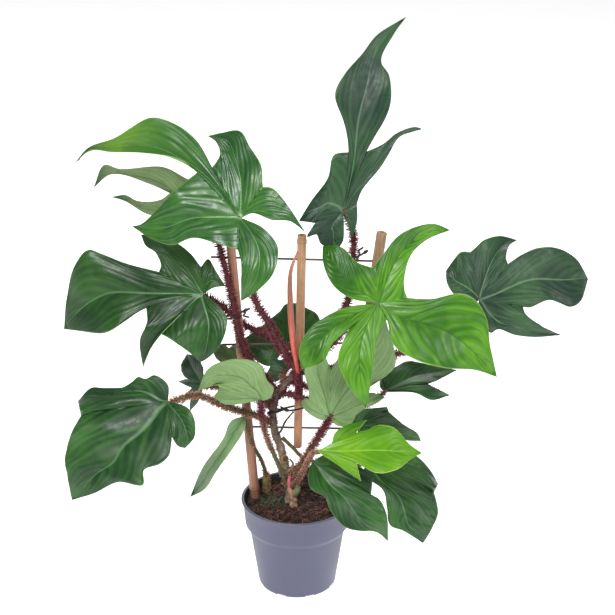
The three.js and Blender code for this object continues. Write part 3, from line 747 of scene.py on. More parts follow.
# Painted shade: the pot's inner wall is much darker than its outer plastic, standing in for the shade inside
# the pot. A greenish patch lies near the soil at the back left.
POT_INNER_SHADE = MottledFinish(
    "pot inside painted shade", (34, 34, 42), (56, 56, 68), 14, 0.5, 0.1,
    Patch((40, 44, 36), (-60, 30, 132), 30, CLEAR_EDGE, 1.0),
)
SOIL = MottledFinish("soil", (24, 18, 17), (58, 40, 33), 5, 0.85, 1.4, Patch((44, 52, 38), *ALGAE))
CRUMBS = MottledFinish("soil crumbs", (26, 19, 18), (104, 68, 56), 7, 0.85, 0.8, Patch((62, 78, 56), *ALGAE))
FIBRES = MottledFinish(
    "bark fibres", (78, 42, 34), (172, 118, 98), 12, 0.8, 0.4, Patch((96, 108, 80), *ALGAE)
)
FLOOR = MottledFinish("floor", (238, 238, 238), (241, 241, 241), 900, 0.8, 0.0)


@lru_cache(maxsize=None)
def material_of(finish: Any) -> bpy.types.Material:
    """Builds each finish once."""
    return finish.build()


# Shapes that every piece is made of

WELD = 0.002
SLIVER = 0.001


def mapped_grid(mesh: Mesh, along: int, across: int, place: Callable[[float, float], Vector]) -> list:
    """Lays a grid of quads with its own map and moves each vertex to its place.

    Args:
        mesh: the mesh that the grid goes into.
        along: how many quads it has along u.
        across: how many quads it has along v.
        place: gives the place of the point at u and v, each from 0 to 1.

    Returns:
        The grid's vertices.
    """
    grid = bmesh.ops.create_grid(mesh, x_segments=along, y_segments=across, size=0.5, calc_uvs=True)
    for vertex in grid["verts"]:
        vertex.co = place(vertex.co.x + 0.5, vertex.co.y + 0.5)
    return grid["verts"]


def new_mesh() -> Mesh:
    """Starts an empty mesh that keeps a map.

    Returns:
        The mesh.
    """
    mesh = bmesh.new()
    mesh.loops.layers.uv.new("UVMap")
    return mesh


def close_up(mesh: Mesh, weld: float = WELD) -> None:
    """Welds the seams and poles of a mesh and turns its faces out.

    Args:
        mesh: the mesh.
        weld: how near two vertices are that become one.
    """
    bmesh.ops.remove_doubles(mesh, verts=mesh.verts, dist=weld)
    bmesh.ops.dissolve_degenerate(mesh, edges=mesh.edges, dist=SLIVER)
    bmesh.ops.recalc_face_normals(mesh, faces=mesh.faces)


def placed(name: str, mesh: Mesh, finishes: Sequence[Any]) -> Piece:
    """Turns a mesh in millimetres into an object of the scene.

    Args:
        name: the object's name.
        mesh: the mesh, which is used up.
        finishes: its finishes, in the order of the faces' material numbers.

    Returns:
        The new object.
    """
    data = bpy.data.meshes.new(name)
    mesh.to_mesh(data)
    mesh.free()
    data.transform(Matrix.Scale(MM, 4))
    data.shade_smooth()
    for finish in finishes:
        data.materials.append(material_of(finish))
    piece = bpy.data.objects.new(name, data)
    bpy.context.scene.collection.objects.link(piece)
    return piece


def finished(name: str, mesh: Mesh, finishes: Sequence[Any], node: str = "") -> Piece:
    """Turns a mesh in millimetres into a piece that rides on the plant.

    Args:
        name: the piece's name.
        mesh: the mesh, which is used up.
        finishes: its finishes, in the order of the faces' material numbers.
        node: the CAD node that it stands for, if any.

    Returns:
        The new object.
    """
    piece = placed(name, mesh, finishes)
    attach(piece, "root")
    if node:
        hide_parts(node)
    return piece


class SmoothCurve:
    """A smooth curve through points, read by its share of length."""

    CHECKS = 200

    def __init__(self, points: Sequence[Vector | Point]) -> None:
        """Measures the curve.

        Args:
            points: the points that it runs through.
        """
        self.points = [Vector(point) for point in points]
        places = [self._place(check / self.CHECKS) for check in range(self.CHECKS + 1)]
        self.lengths = [0.0]
        for before, after in zip(places, places[1:]):
            self.lengths.append(self.lengths[-1] + (after - before).length)

    def _place(self, share: float) -> Vector:
        """Reads the curve by its share of spans.

        Args:
            share: how far along the spans, from 0 to 1.

        Returns:
            The place there.
        """
        points = self.points
        spans = len(points) - 1
        span = min(int(share * spans), spans - 1)
        weight = share * spans - span
        start, end = points[span], points[span + 1]
        before = points[span - 1] if span > 0 else 2 * points[0] - points[1]
        after = points[span + 2] if span + 2 <= spans else 2 * points[-1] - points[-2]
        pairs = ((before, start), (start, end), (end, after))
        first, middle, last = ((far - near).length ** 0.5 for near, far in pairs)
        leave = (start - before) / first - (end - before) / (first + middle) + (end - start) / middle
        reach = (end - start) / middle - (after - start) / (middle + last) + (after - end) / last
        leave, reach = leave * middle, reach * middle
        square = 3 * (end - start) - 2 * leave - reach
        cube = 2 * (start - end) + leave + reach
        return start + weight * (leave + weight * (square + weight * cube))

    def at(self, share: float) -> Vector:
        """Reads the curve by its share of length.

        Args:
            share: how far along its length, from 0 to 1.

        Returns:
            The place there.
        """
        wanted = min(max(share, 0.0), 1.0) * self.lengths[-1]
        check = min(max(bisect.bisect_right(self.lengths, wanted) - 1, 0), self.CHECKS - 1)
        step = self.lengths[check + 1] - self.lengths[check]
        part = (wanted - self.lengths[check]) / step if step else 0.0
        return self._place(min((check + part) / self.CHECKS, 1.0))

    @property
    def length(self) -> float:
        """The whole length."""
        return self.lengths[-1]


@dataclass
class Limb:
    """A round rod along a smooth curve, closed at both ends.

    Its stations are pairs of a share of its length and a radius, and its dye is what its map's u starts
    and ends at.
    """

    points: Sequence[Vector | Point]
    stations: Sequence[tuple[float, float]]
    sides: int = 16
    dye: Span = (0.0, 1.0)
    lumps: float = 0.0

    NUDGE = 0.01
    LUMP_REACH = 4
    LUMP_TURNS = 0.16
    BRISTLE_ROOT = 0.6
    BRISTLE_POINT = 0.28

    @cached_property
    def curve(self) -> SmoothCurve:
        """The line that its middle follows."""
        return SmoothCurve(self.points)

    @cached_property
    def shares(self) -> list[float]:
        """Where its stations are."""
        return [share for share, _ in self.stations]

    @cached_property
    def frames(self) -> list[tuple[Vector, Vector, Vector, Vector]]:
        """Stands a frame at each station, turned as little as the line allows.

        Returns:
            The centre, two sides and direction at each station.
        """
        made: list[tuple[Vector, Vector, Vector, Vector]] = []
        side = Vector((0, 1, 0))
        for share in self.shares:
            near = min(max(share, self.NUDGE), 1 - self.NUDGE)
            ahead = (self.curve.at(near + self.NUDGE) - self.curve.at(near - self.NUDGE)).normalized()
            side = (side - ahead * side.dot(ahead)).normalized()
            made.append((self.curve.at(share), side, ahead.cross(side), ahead))
        return made

    def radius(self, share: float) -> float:
        """Reads the radius between its stations.

        Args:
            share: how far along its length, from 0 to 1.

        Returns:
            The radius there.
        """
        for (low, first), (high, last) in zip(self.stations, self.stations[1:]):
            if low <= share <= high and high > low:
                return first + (last - first) * (share - low) / (high - low)
        return self.stations[-1][1]

    def surface(self, station: int, angle: float) -> Vector:
        """Finds a point of its skin.

        Args:
            station: the number of the station.
            angle: the angle round it.

        Returns:
            The point.
        """
        centre, side, other, _ = self.frames[station]
        out = side * math.cos(angle) + other * math.sin(angle)
        radius = self.stations[station][1]
        place = centre + out * radius
        lump = self.lumps * min(radius, self.LUMP_REACH) * noise.noise(place * self.LUMP_TURNS)
        return place + out * lump

    def build(self, mesh: Mesh, finish: int = 0) -> None:
        """Adds the rod to a mesh.

        Args:
            mesh: the mesh that it goes into.
            finish: the material number of its faces.
        """
        rows = len(self.stations) + 1
        poles = {0: self.frames[0][0], rows: self.frames[-1][0]}

        def place(u_value: float, v_value: float) -> Vector:
            """Finds the grid's point, where the first and last rows are the poles."""
            row = round(u_value * rows)
            return poles[row] if row in poles else self.surface(row - 1, v_value * math.tau)

        verts = mapped_grid(mesh, rows, self.sides, place)
        chart = mesh.loops.layers.uv["UVMap"]
        for face in {face for vertex in verts for face in vertex.link_faces}:
            face.material_index = finish
            for loop in face.loops:
                row = min(max(round(loop[chart].uv.x * rows) - 1, 0), rows - 2)
                loop[chart].uv.x = self.dye[0] + (self.dye[1] - self.dye[0]) * self.shares[row]

    def bristle(
        self, mesh: Mesh, share: float, angle: float, size: Point, finish: int, redness: float
    ) -> None:
        """Adds one three-sided bristle with its root sunk in the rod.

        Args:
            mesh: the mesh that it goes into.
            share: how far along the rod it stands.
            angle: the angle round the rod.
            size: its length, its radius and how far it leans towards the rod's end.
            finish: the material number of its faces.
            redness: how red it is, from 0 to 1.
        """
        length, width, lean = size
        station = min(bisect.bisect_left(self.shares, share), len(self.stations) - 1)
        _, side, other, ahead = self.frames[station]
        out = (side * math.cos(angle) + other * math.sin(angle) + ahead * lean).normalized()
        middle = self.curve.at(share) + out * (self.radius(share) - self.BRISTLE_ROOT + length / 2)
        turn = Vector((0, 0, 1)).rotation_difference(out)
        cone = bmesh.ops.create_cone(
            mesh, cap_ends=True, cap_tris=True, segments=3, radius1=width, radius2=self.BRISTLE_POINT,
            depth=length, matrix=Matrix.LocRotScale(middle, turn, None),
        )
        chart = mesh.loops.layers.uv["UVMap"]
        for face in {face for vertex in cone["verts"] for face in vertex.link_faces}:
            face.material_index = finish
            for loop in face.loops:
                loop[chart].uv = (redness, float((loop.vert.co - middle).dot(out) > 0))


def even_stations(count: int, radius: Callable[[float], float]) -> list[tuple[float, float]]:
    """Spaces stations evenly along a rod, each a share and the radius there."""
    return [(step / count, radius(step / count)) for step in range(count + 1)]


def tapered(count: int, first: float, last: float) -> list[tuple[float, float]]:
    """Spaces stations evenly along a rod whose radius changes from the first to the last."""
    return even_stations(count, lambda share: first + (last - first) * share)


def bulged(count: int, least: float, more: float, wave: Span) -> list[tuple[float, float]]:
    """Spaces stations evenly along a rod that swells like a part of a half wave.

    Args:
        count: how many spans there are.
        least: the radius where the wave is nothing.
        more: how much the wave's top adds to it.
        wave: the shares of the half wave that the rod starts and ends at.

    Returns:
        The stations, each a share and a radius.
    """
    start, reach = wave[0], wave[1] - wave[0]
    return even_stations(count, lambda share: least + more * math.sin(math.pi * (start + reach * share)))


def rod_piece(name: str, rod: Limb, finish: Any, node: str) -> Piece:
    """Makes a piece of one plain rod.

    Args:
        name: the piece's name.
        rod: the rod.
        finish: its finish.
        node: the CAD node that it stands for.

    Returns:
        The new object.
    """
    mesh = new_mesh()
    rod.build(mesh)
    close_up(mesh)
    return finished(name, mesh, (finish,), node)


# Leaves


class Side(Enum):
    """The two margins of a lobe, seen from its root."""

    RIGHT = -1
    LEFT = 1


@dataclass(frozen=True)
class Lobe:
    """A lobe's outline in pixels: the points of its margins from inside out, its tip and its left sinus."""

    right: tuple[Pixel, ...]
    tip: Pixel
    left: tuple[Pixel, ...]
    sinus: Pixel | None = None


@dataclass(frozen=True)
class LobeSurface:
    """The middle surface of one lobe in the leaf's own frame."""

    margins: dict[Side, SmoothCurve]
    number: int
    upward: int
    eye: Vector
    cup: float

    @cached_property
    def _cache(self) -> dict[Any, Vector]:
        """What has been worked out already."""
        return {}

    def _lifted(self, point: Vector, height: float) -> Vector:
        """Moves a point to a height along the line of sight, which keeps the outline in view."""
        return point.lerp(self.eye, height / self.eye.z)

    def _halfway(self, share: float) -> Vector:
        """The point between the two margins at a share of their lengths."""
        return (self.margins[Side.RIGHT].at(share) + self.margins[Side.LEFT].at(share)) / 2

    def rib(self, share: float) -> Vector:
        """Finds a point of the rib.

        Args:
            share: how far from the root to the tip.

        Returns:
            The point.
        """
        if share not in self._cache:
            length = self.margins[Side.LEFT].at(1).length
            rise = self.upward * length * (4 * ARCH * share * (1 - share) - DROOP * share * share)
            flat = self._halfway(share) - (1 - share) ** 2 * self._halfway(0)
            self._cache[share] = self._lifted(flat, rise)
        return self._cache[share]

    def margin(self, side: Side, share: float) -> Vector:
        """Finds a point of a margin.

        Args:
            side: which margin.
            share: how far from its sinus to the tip.

        Returns:
            The point.
        """
        if (side, share) not in self._cache:
            point = self.margins[side].at(share)
            middle = self.rib(share)
            width = (point - middle).xy.length
            phase = WAVES * math.pi * share + self.number * WAVE_STEP + side.value
            wave = WAVE * math.sin(phase) * math.sin(math.pi * share)
            self._cache[side, share] = self._lifted(point, middle.z + width * (self.upward * self.cup + wave))
        return self._cache[side, share]

    def inside(self, side: Side, share: float, out: float) -> Vector:
        """Finds a point between the rib and a margin.

        Args:
            side: which half of the lobe.
            share: how far from the root to the tip.
            out: how far from the rib to the margin.

        Returns:
            The point.
        """
        reach = self.margin(side, share) - self.rib(share)
        point = self.rib(share) + reach * out
        point.z += self.upward * BULGE * reach.length * out * (1 - out)
        return point


@dataclass(frozen=True)
class Leaf:
    """One leaf: a blade drawn in the front view and laid on its own plane, and a bristly petiole."""

    name: str
    at: Point
    turn: float
    face: float
    coat: Coat
    lobes: tuple[Lobe, ...]
    petiole: tuple[Point, ...]
    red: Span
    under: bool = False
    stalk: Span = (4.5, 3.1)
    bristles: float = 4.4
    lower: UndersideFinish = UNDERSIDE
    cup: float = CUP

    ENTRY = 0.1
    ENTRY_REACH = 5
    ENTRY_DEPTH = 1.0
    STATIONS = 46
    FOOT_SWELL = 0.5
    FOOT_END = 14
    FIRST_BRISTLE = 0.03
    TURN = 137.5
    TURN_SPREAD = 25
    BARE_SHARE = 0.8
    LENGTHS = (0.5, 0.34)
    LENGTH_SPREAD = (0.7, 1.3)
    WIDTH_SPREAD = (0.5, 0.75)
    LEAN_SPREAD = (-0.3, 0.6)

    @cached_property
    def frame(self) -> Matrix:
        """Makes the leaf's own frame: its plane faces the viewer, then tips up by its face angle and turns.

        Returns:
            The matrix from the leaf's own frame to the plant's.
        """
        turned = Matrix.Rotation(math.radians(self.turn), 4, "Z")
        tipped = Matrix.Rotation(math.radians(90 - self.face), 4, "X")
        return Matrix.Translation(self.at) @ turned @ tipped

    @cached_property
    def eye(self) -> Vector:
        """The eye of the front view in the leaf's own frame."""
        return self.frame.inverted() @ Vector(EYE)

    @property
    def upward(self) -> int:
        """Whether the upper side faces the viewer, as 1, or away, as -1."""
        return -1 if self.under else 1

    def laid(self, pixel: Pixel | None) -> Vector:
        """Lays a pixel of the front view on the leaf's plane.

        Args:
            pixel: the pixel, or None for the root.

        Returns:
            The point in the leaf's own frame.
        """
        if pixel is None:
            return Vector()
        ray = Vector((pixel[0] - MIDDLE, FOCAL, MIDDLE - pixel[1]))
        ray.rotate(Matrix.Rotation(-math.radians(PITCH), 3, "X"))
        ahead = self.frame.inverted() @ (ray + Vector(EYE))
        return self.eye.lerp(ahead, self.eye.z / (self.eye.z - ahead.z))

    @cached_property
    def surfaces(self) -> list[LobeSurface]:
        """Lays the margins of each lobe on the leaf's plane.

        Returns:
            The surface of each lobe.
        """
        made = []
        before = None
        for number, lobe in enumerate(self.lobes):
            tip = self.laid(lobe.tip)
            right = SmoothCurve([self.laid(before), *map(self.laid, lobe.right), tip])
            left = SmoothCurve([self.laid(lobe.sinus), *map(self.laid, lobe.left), tip])
            margins = {Side.RIGHT: right, Side.LEFT: left}
            made.append(LobeSurface(margins, number, self.upward, self.eye, self.cup))
            before = lobe.sinus
        return made

    def pleated(self, lobe: LobeSurface, side: Side, share: float, out: float) -> Vector:
        """Finds a point of the blade with the shallow pleats between its veins.

        Args:
            lobe: the lobe's surface.
            side: which half of it.
            share: how far from the root to the tip.
            out: how far from the rib to the margin.

        Returns:
            The point in the leaf's own frame.
        """
        look = self.coat.value
        point = lobe.inside(side, share, out)
        swept = look.sweep * out * (VEIN_LEAN + (1 - VEIN_LEAN) * out)
        run = share - swept + UNEVEN * math.sin(UNEVEN_TURNS * share)
        swell = min(1.0, (lobe.margin(side, share) - lobe.rib(share)).length / FULL_SWELL)
        least, more = FOLD_SHARES
        uneven = noise.noise(Vector((run * FOLD_TURNS, out, lobe.number + self.at[0])))
        fold = look.fold * (least + more * uneven)
        fold *= math.sin(math.tau * look.pleats * run) * math.sin(math.pi * min(out * FOLD_REACH, 1.0))
        point.z += self.upward * swell * fold
        lump = noise.noise(point * SWELL_TURNS + Vector(self.at))
        point.z += SWELL * swell * lump * math.sin(math.pi * out)
        ripple = noise.noise(Vector((share * RIPPLE_TURNS, lobe.number * RIPPLE_STEP, side.value)))
        point.z += RIPPLE * swell * ripple * out**3
        return point

    def build_blade(self) -> Piece:
        """Makes the blade as a grid for each half lobe, welded along the ribs and seams.

        Returns:
            The new object.
        """
        mesh = new_mesh()
        for lobe in self.surfaces:
            for side in Side:
                def place(share: float, out: float, lobe: LobeSurface = lobe, side: Side = side) -> Vector:
                    """Finds the grid's point on this half lobe."""
                    return self.pleated(lobe, side, round(share, 5), round(out, 5))

                mapped_grid(mesh, BLADE_ROWS, self.coat.value.columns, place)
        close_up(mesh, BLADE_WELD)
        inner = [vertex for vertex in mesh.verts if not vertex.is_boundary]
        for _ in range(SMOOTHINGS):
            bmesh.ops.smooth_vert(mesh, verts=inner, factor=0.5, use_axis_x=True, use_axis_y=True)
        mesh.normal_update()
        if sum(face.normal.z * face.calc_area() for face in mesh.faces) * self.upward < 0:
            bmesh.ops.reverse_faces(mesh, faces=mesh.faces)
        mesh.transform(self.frame)
        finishes = (self.coat.value, self.lower)
        blade = finished(f"leaf_{self.name}", mesh, finishes, f"blade_{self.name}")
        sheet = blade.modifiers.new("thickness", "SOLIDIFY")
        sheet.thickness = BLADE_THICKNESS * MM
        sheet.offset = 0
        sheet.material_offset = 1
        return blade

    def build_petiole(self, draw: random.Random) -> Piece:
        """Makes the petiole with its bristles, which run to just under the blade.

        Args:
            draw: the seeded random draws.

        Returns:
            The new object.
        """
        inward = self.surfaces[len(self.lobes) // 2].rib(self.ENTRY).normalized() * self.ENTRY_REACH
        inward.z -= self.ENTRY_DEPTH * self.upward
        line = [*self.petiole, self.frame @ inward]
        start, end = self.stalk

        def thick(share: float) -> float:
            """The radius at a share of the length, which swells at the foot."""
            return start + (end - start) * share + self.FOOT_SWELL * max(0, 1 - share * self.FOOT_END)

        rod = Limb(line, even_stations(self.STATIONS, thick), sides=14, dye=self.red, lumps=0.12)
        mesh = new_mesh()
        rod.build(mesh)
        close_up(mesh)
        count = round(rod.curve.length * self.bristles)
        short, longer = self.LENGTHS
        for number in range(count):
            share = self.FIRST_BRISTLE + (1 - 2 * self.FIRST_BRISTLE) * (number + draw.random()) / count
            angle = math.radians(self.TURN * number + draw.uniform(-self.TURN_SPREAD, self.TURN_SPREAD))
            redness = rod.dye[0] + (rod.dye[1] - rod.dye[0]) * share
            if redness < 0 and draw.random() < self.BARE_SHARE:
                continue
            redness = min(max(redness, 0), 1)
            length = (start + end) * (short + longer * redness) * draw.uniform(*self.LENGTH_SPREAD)
            size = (length, draw.uniform(*self.WIDTH_SPREAD), draw.uniform(*self.LEAN_SPREAD))
            rod.bristle(mesh, share, angle, size, 1, redness * redness)
        skins = (PETIOLE_SKIN, BRISTLE)
        return finished(f"stalk_{self.name}", mesh, skins, f"petiole_{self.name}")


LEAVES = (
    Leaf(
        "top_left", at=(-77, -40, 611), turn=-20, face=35, coat=Coat.GLOSSY, red=(0.85, 1.0),
        petiole=((0, 5, 356), (-20, -4, 392), (-39, -8, 434), (-61, -14, 479), (-70, -26, 550)),
        lobes=(
            Lobe(
                right=((252, 213), (272, 220), (290, 221)), tip=(305, 232),
                left=((272, 188), (283, 199), (295, 216)), sinus=(263, 187),
            ),
            Lobe(
                right=((261, 165), (250, 147), (240, 131), (222, 133)), tip=(208, 136),
                left=((220, 155), (216, 142)), sinus=(212, 168),
            ),
            Lobe(
                right=((197, 141), (175, 124), (150, 118), (115, 138), (88, 148)), tip=(75, 163),
                left=((180, 159), (145, 153), (110, 152), (90, 150)), sinus=(198, 172),
            ),
            Lobe(
                right=((172, 193), (155, 212), (140, 225)), tip=(132, 226),
                left=((215, 243), (193, 238), (172, 245), (150, 238)), sinus=(238, 250),
            ),
            Lobe(
                right=((241, 262), (241, 285)), tip=(241, 301),
                left=((263, 228), (278, 248), (273, 274), (256, 292)),
            ),
        ),
    ),
    Leaf(
        "back_left", at=(-129, 60, 584), turn=10, face=5, coat=Coat.MID, red=(0.85, 1.0), under=True,
        lower=SHADED_UNDERSIDE,
        petiole=(
            (-28, 8, 318), (-55, 14, 348), (-75, 14, 380), (-84, 13, 408), (-94, 14, 464), (-112, 30, 541),
        ),
        lobes=(
            Lobe(right=((222, 206), (236, 200)), tip=(244, 190), left=((232, 184),), sinus=(212, 184)),
            Lobe(
                right=((190, 180), (163, 167), (120, 169), (104, 165)), tip=(94, 187),
                left=((150, 184), (112, 174)), sinus=(170, 193),
            ),
            Lobe(
                right=((160, 200), (138, 201), (125, 195)), tip=(112, 197),
                left=((190, 214), (150, 215), (125, 201)),
            ),
        ),
    ),
    Leaf(
        "mid_left", at=(-136, 10, 475), turn=-20, face=30, coat=Coat.DEEP, red=(0.9, 1.0),
        petiole=(
            (-2, 12, 355), (-19, 26, 378), (-40, 40, 393), (-62, 49, 400), (-84, 49, 413), (-112, 36, 446),
        ),
        lobes=(
            Lobe(right=((213, 288),), tip=(225, 286), left=((208, 259), (216, 271)), sinus=(201, 267)),
            Lobe(
                right=((190, 253), (172, 240), (155, 234)), tip=(141, 235),
                left=((161, 265), (155, 252), (146, 246)), sinus=(159, 272),
            ),
            Lobe(
                right=((125, 263), (102, 254), (88, 250), (75, 265), (67, 297)), tip=(64, 329),
                left=((136, 313), (124, 322), (105, 333), (80, 331)), sinus=(146, 306),
            ),
            Lobe(right=((147, 322), (140, 340)), tip=(143, 367), left=((151, 348),), sinus=(161, 334)),
            Lobe(
                right=((170, 339), (190, 353)), tip=(200, 362),
                left=((213, 301), (226, 315), (227, 325), (219, 347), (205, 360)),
            ),
        ),
    ),
    Leaf(
        "low_left", at=(-188, -40, 326), turn=-25, face=40, coat=Coat.DARK, red=(0.15, 0.35), bristles=7.0,
        petiole=((-34, 4, 266), (-60, 2, 281), (-85, 0, 290), (-108, -6, 301), (-148, -24, 328)),
        lobes=(
            Lobe(
                right=((168, 385), (154, 375), (146, 379), (138, 377), (128, 386), (105, 388), (91, 388)),
                tip=(78, 401), left=(), sinus=(81, 416),
            ),
            Lobe(
                right=((71, 434), (65, 460), (67, 474)), tip=(72, 500),
                left=((169, 455), (160, 464), (144, 470), (143, 485), (118, 482), (95, 493)),
                sinus=(172, 437),
            ),
            Lobe(right=((178, 446),), tip=(185, 448), left=((188, 408), (195, 422), (194, 438))),
        ),
    ),
    Leaf(
        "folded_left", at=(-140, 20, 325), turn=-55, face=20, coat=Coat.MISTY, red=(0.3, 0.5),
        petiole=((-32, 10, 300), (-54, 24, 297), (-79, 44, 297), (-109, 42, 308)),
        lobes=(
            Lobe(
                right=((203, 368), (197, 357)), tip=(187, 354), left=((184, 376), (181, 366)),
                sinus=(192, 381),
            ),
            Lobe(right=((186, 379),), tip=(178, 381.5), left=((185, 385),), sinus=(192, 388)),
            Lobe(right=((184, 396),), tip=(181, 405), left=((187, 400),), sinus=(193, 396)),
            Lobe(right=((190, 402),), tip=(190, 411), left=((202, 392), (198, 402))),
        ),
    ),
    Leaf(
        "pale_left", at=(-49, -35, 324), turn=10, face=10, coat=Coat.MID, red=(-0.8, 1.2), under=True,
        stalk=(3.5, 2.8), bristles=5.5,
        petiole=((-15, -4, 160), (-22, -9, 188), (-34, -12, 222), (-46, -20, 260), (-51, -27, 292)),
        lobes=(
            Lobe(
                right=((270, 398), (274, 388), (267, 380), (262, 366), (250, 360), (228, 360), (208, 369)),
                tip=(198, 391), left=((208, 387),), sinus=(218, 384),
            ),
            Lobe(right=((219, 389),), tip=(214, 396), left=((256, 401), (240, 404), (224, 404))),
        ),
    ),
    Leaf(
        "hanging_left", at=(-76, 0, 282), turn=-35, face=20, coat=Coat.FADED, red=(-0.1, 0.1),
        stalk=(3.1, 2.6), cup=0.45,
        petiole=((-47, 38, 158), (-54, 32, 188), (-66, 20, 220), (-73, 7, 254)),
        lobes=(
            Lobe(
                right=((231, 421), (223, 439), (203, 467)), tip=(190, 497),
                left=((244, 430), (231, 451), (216, 472), (205, 489)),
            ),
        ),
    ),
    Leaf(
        "top", at=(67, 10, 602), turn=5, face=15, coat=Coat.MISTY, red=(0.75, 1.0),
        petiole=((3, 10, 361), (42, 14, 408), (75, 14, 461), (82, 16, 529), (81, 16, 569)),
        lobes=(
            Lobe(right=((349, 228),), tip=(351, 240), left=((357, 222),), sinus=(357, 203)),
            Lobe(
                right=((362, 190), (380, 168), (391, 150), (397, 138)), tip=(422, 129),
                left=((383, 144), (397, 133), (415, 127)), sinus=(363, 153),
            ),
            Lobe(
                right=((385, 119), (391, 100), (389, 75), (381, 61), (394, 34)), tip=(406, 17),
                left=((347, 128), (335, 95), (344, 75), (362, 54), (377, 35)), sinus=(350, 152),
            ),
            Lobe(right=((334, 155), (328, 178), (312, 200)), tip=(299, 221), left=(), sinus=(315, 223)),
            Lobe(right=((307, 237), (316, 234), (321, 244)), tip=(337, 250), left=((344, 228), (343, 241))),
        ),
    ),
    Leaf(
        "front_right", at=(116, -60, 489), turn=8, face=30, coat=Coat.BRIGHT, red=(0.75, 1.0),
        petiole=((7, 2, 358), (42, -10, 395), (77, -30, 443)),
        lobes=(
            Lobe(
                right=((352, 306), (330, 314), (308, 331), (299, 352)), tip=(302, 369),
                left=((333, 343), (323, 362)), sinus=(350, 328),
            ),
            Lobe(
                right=((342, 344), (338, 360), (347, 383)), tip=(366, 409),
                left=((380, 330), (374, 357), (371, 382)), sinus=(388, 318),
            ),
            Lobe(
                right=((393, 344), (416, 360), (445, 368), (475, 370)), tip=(497, 377),
                left=((432, 299), (458, 293.5), (473, 298), (486, 317), (490, 345)), sinus=(407, 298),
            ),
            Lobe(
                right=((404, 285), (410, 257), (425, 241)), tip=(450, 230),
                left=((384, 253), (398, 236), (418, 226), (435, 224)), sinus=(373, 268),
            ),
            Lobe(right=((357, 262), (341, 247)), tip=(323, 246), left=((350, 298), (332, 284), (323, 262))),
        ),
    ),
    Leaf(
        "far_right", at=(267, 20, 461), turn=25, face=35, coat=Coat.MISTY, red=(0.3, 0.9),
        petiole=((2, 11, 348), (54, 12, 356), (95, 9, 367), (130, 14, 372), (160, 20, 379), (212, 24, 413)),
        lobes=(
            Lobe(
                right=((479, 315), (491, 333), (497, 329), (515, 335), (535, 337)), tip=(561, 335),
                left=((525, 313), (540, 325)), sinus=(523, 307),
            ),
            Lobe(
                right=((530, 307.5), (550, 300), (570, 307), (580, 302)), tip=(588, 279),
                left=((521, 255), (540, 247.5), (560, 249), (577, 260)), sinus=(508, 264),
            ),
            Lobe(
                right=((506, 258), (509, 246)), tip=(517, 240), left=((475, 248), (484, 240), (500, 236)),
                sinus=(470, 252),
            ),
            Lobe(right=((461, 252), (453, 261)), tip=(446, 271), left=((455, 295), (447, 283))),
        ),
    ),
    Leaf(
        "side_right", at=(132, 45, 300), turn=15, face=60, coat=Coat.DARK, red=(1.0, 0.6), stalk=(3.6, 2.8),
        petiole=((-12, 12, 334), (8, 6, 330), (50, 12, 308), (92, 14, 288), (116, 30, 293)),
        lobes=(
            Lobe(right=((415, 393), (432, 400)), tip=(450, 395), left=(), sinus=(428, 384)),
            Lobe(right=((438, 380),), tip=(457, 370), left=((408, 361), (430, 365)), sinus=(392, 369)),
            Lobe(right=((386, 373),), tip=(380, 378), left=((380, 387),)),
        ),
    ),
    Leaf(
        "pale_centre", at=(49, -45, 302), turn=0, face=10, coat=Coat.MID, red=(0.3, 1.05), under=True,
        stalk=(3.9, 3.0), bristles=6.5,
        petiole=((-13, 0, 180), (5, -14, 206), (20, -24, 237), (37, -36, 273)),
        lobes=(
            Lobe(right=((336, 425),), tip=(347, 427), left=((352, 423),), sinus=(356, 415)),
            Lobe(right=((368, 407), (377, 403)), tip=(385, 397), left=((374, 393),), sinus=(366, 393)),
            Lobe(
                right=((370, 387), (382, 379), (395, 366), (394, 348), (388, 328)), tip=(384, 313),
                left=((343, 350), (360, 325)), sinus=(331, 370),
            ),
            Lobe(
                right=((326, 358),), tip=(321, 349), left=((309, 391), (304.5, 371), (308, 362)),
                sinus=(309, 399),
            ),
            Lobe(right=((305, 398.5),), tip=(301, 403), left=((322, 420), (306, 411))),
        ),
    ),
    Leaf(
        "young", at=(30, -100, 275), turn=10, face=50, coat=Coat.LIME, red=(0.6, 0.1), stalk=(2.9, 2.4),
        lower=YOUNG_UNDERSIDE,
        petiole=((-7, -10, 166), (5, -24, 192), (17, -50, 232), (25, -80, 262)),
        lobes=(
            Lobe(right=((335, 463), (349, 473)), tip=(361, 481), left=(), sinus=(356, 461)),
            Lobe(
                right=((364, 467), (378, 473), (397, 469.5), (411, 459)), tip=(422, 453),
                left=((367, 430), (380, 425), (395, 428.5), (409, 444)), sinus=(356, 433),
            ),
            Lobe(right=(), tip=(366.5, 420), left=((330, 446), (335, 433), (345, 426))),
        ),
    ),
    Leaf(
        "low_front", at=(23, -75, 244), turn=15, face=45, coat=Coat.DARK, red=(0.9, 0.7),
        petiole=((-12, 12, 184), (6, 6, 186), (24, -8, 194), (31, -38, 214)),
        lobes=(
            Lobe(
                right=((308, 474), (311, 489), (325, 497), (329, 508), (345, 527), (362, 531), (376, 531)),
                tip=(388, 541), left=((380, 500), (387, 517)), sinus=(371, 495),
            ),
            Lobe(right=(), tip=(373, 475), left=((325, 455), (350, 462))),
        ),
    ),
    Leaf(
        "low_right", at=(104, -20, 213), turn=30, face=40, coat=Coat.DARK, red=(-0.1, 0.0), stalk=(2.8, 2.5),
        petiole=((-22, 8, 241), (-7, 6, 226), (9, 6, 209), (45, 4, 197), (84, -8, 201)),
        lobes=(
            Lobe(
                right=((363, 476), (371, 481), (383, 490), (387, 508), (390, 525), (404, 531)),
                tip=(423, 543), left=((438, 512), (431, 530)), sinus=(434, 492),
            ),
            Lobe(right=(), tip=(438, 484), left=((390, 445), (415, 455), (430, 470))),
        ),
    ),
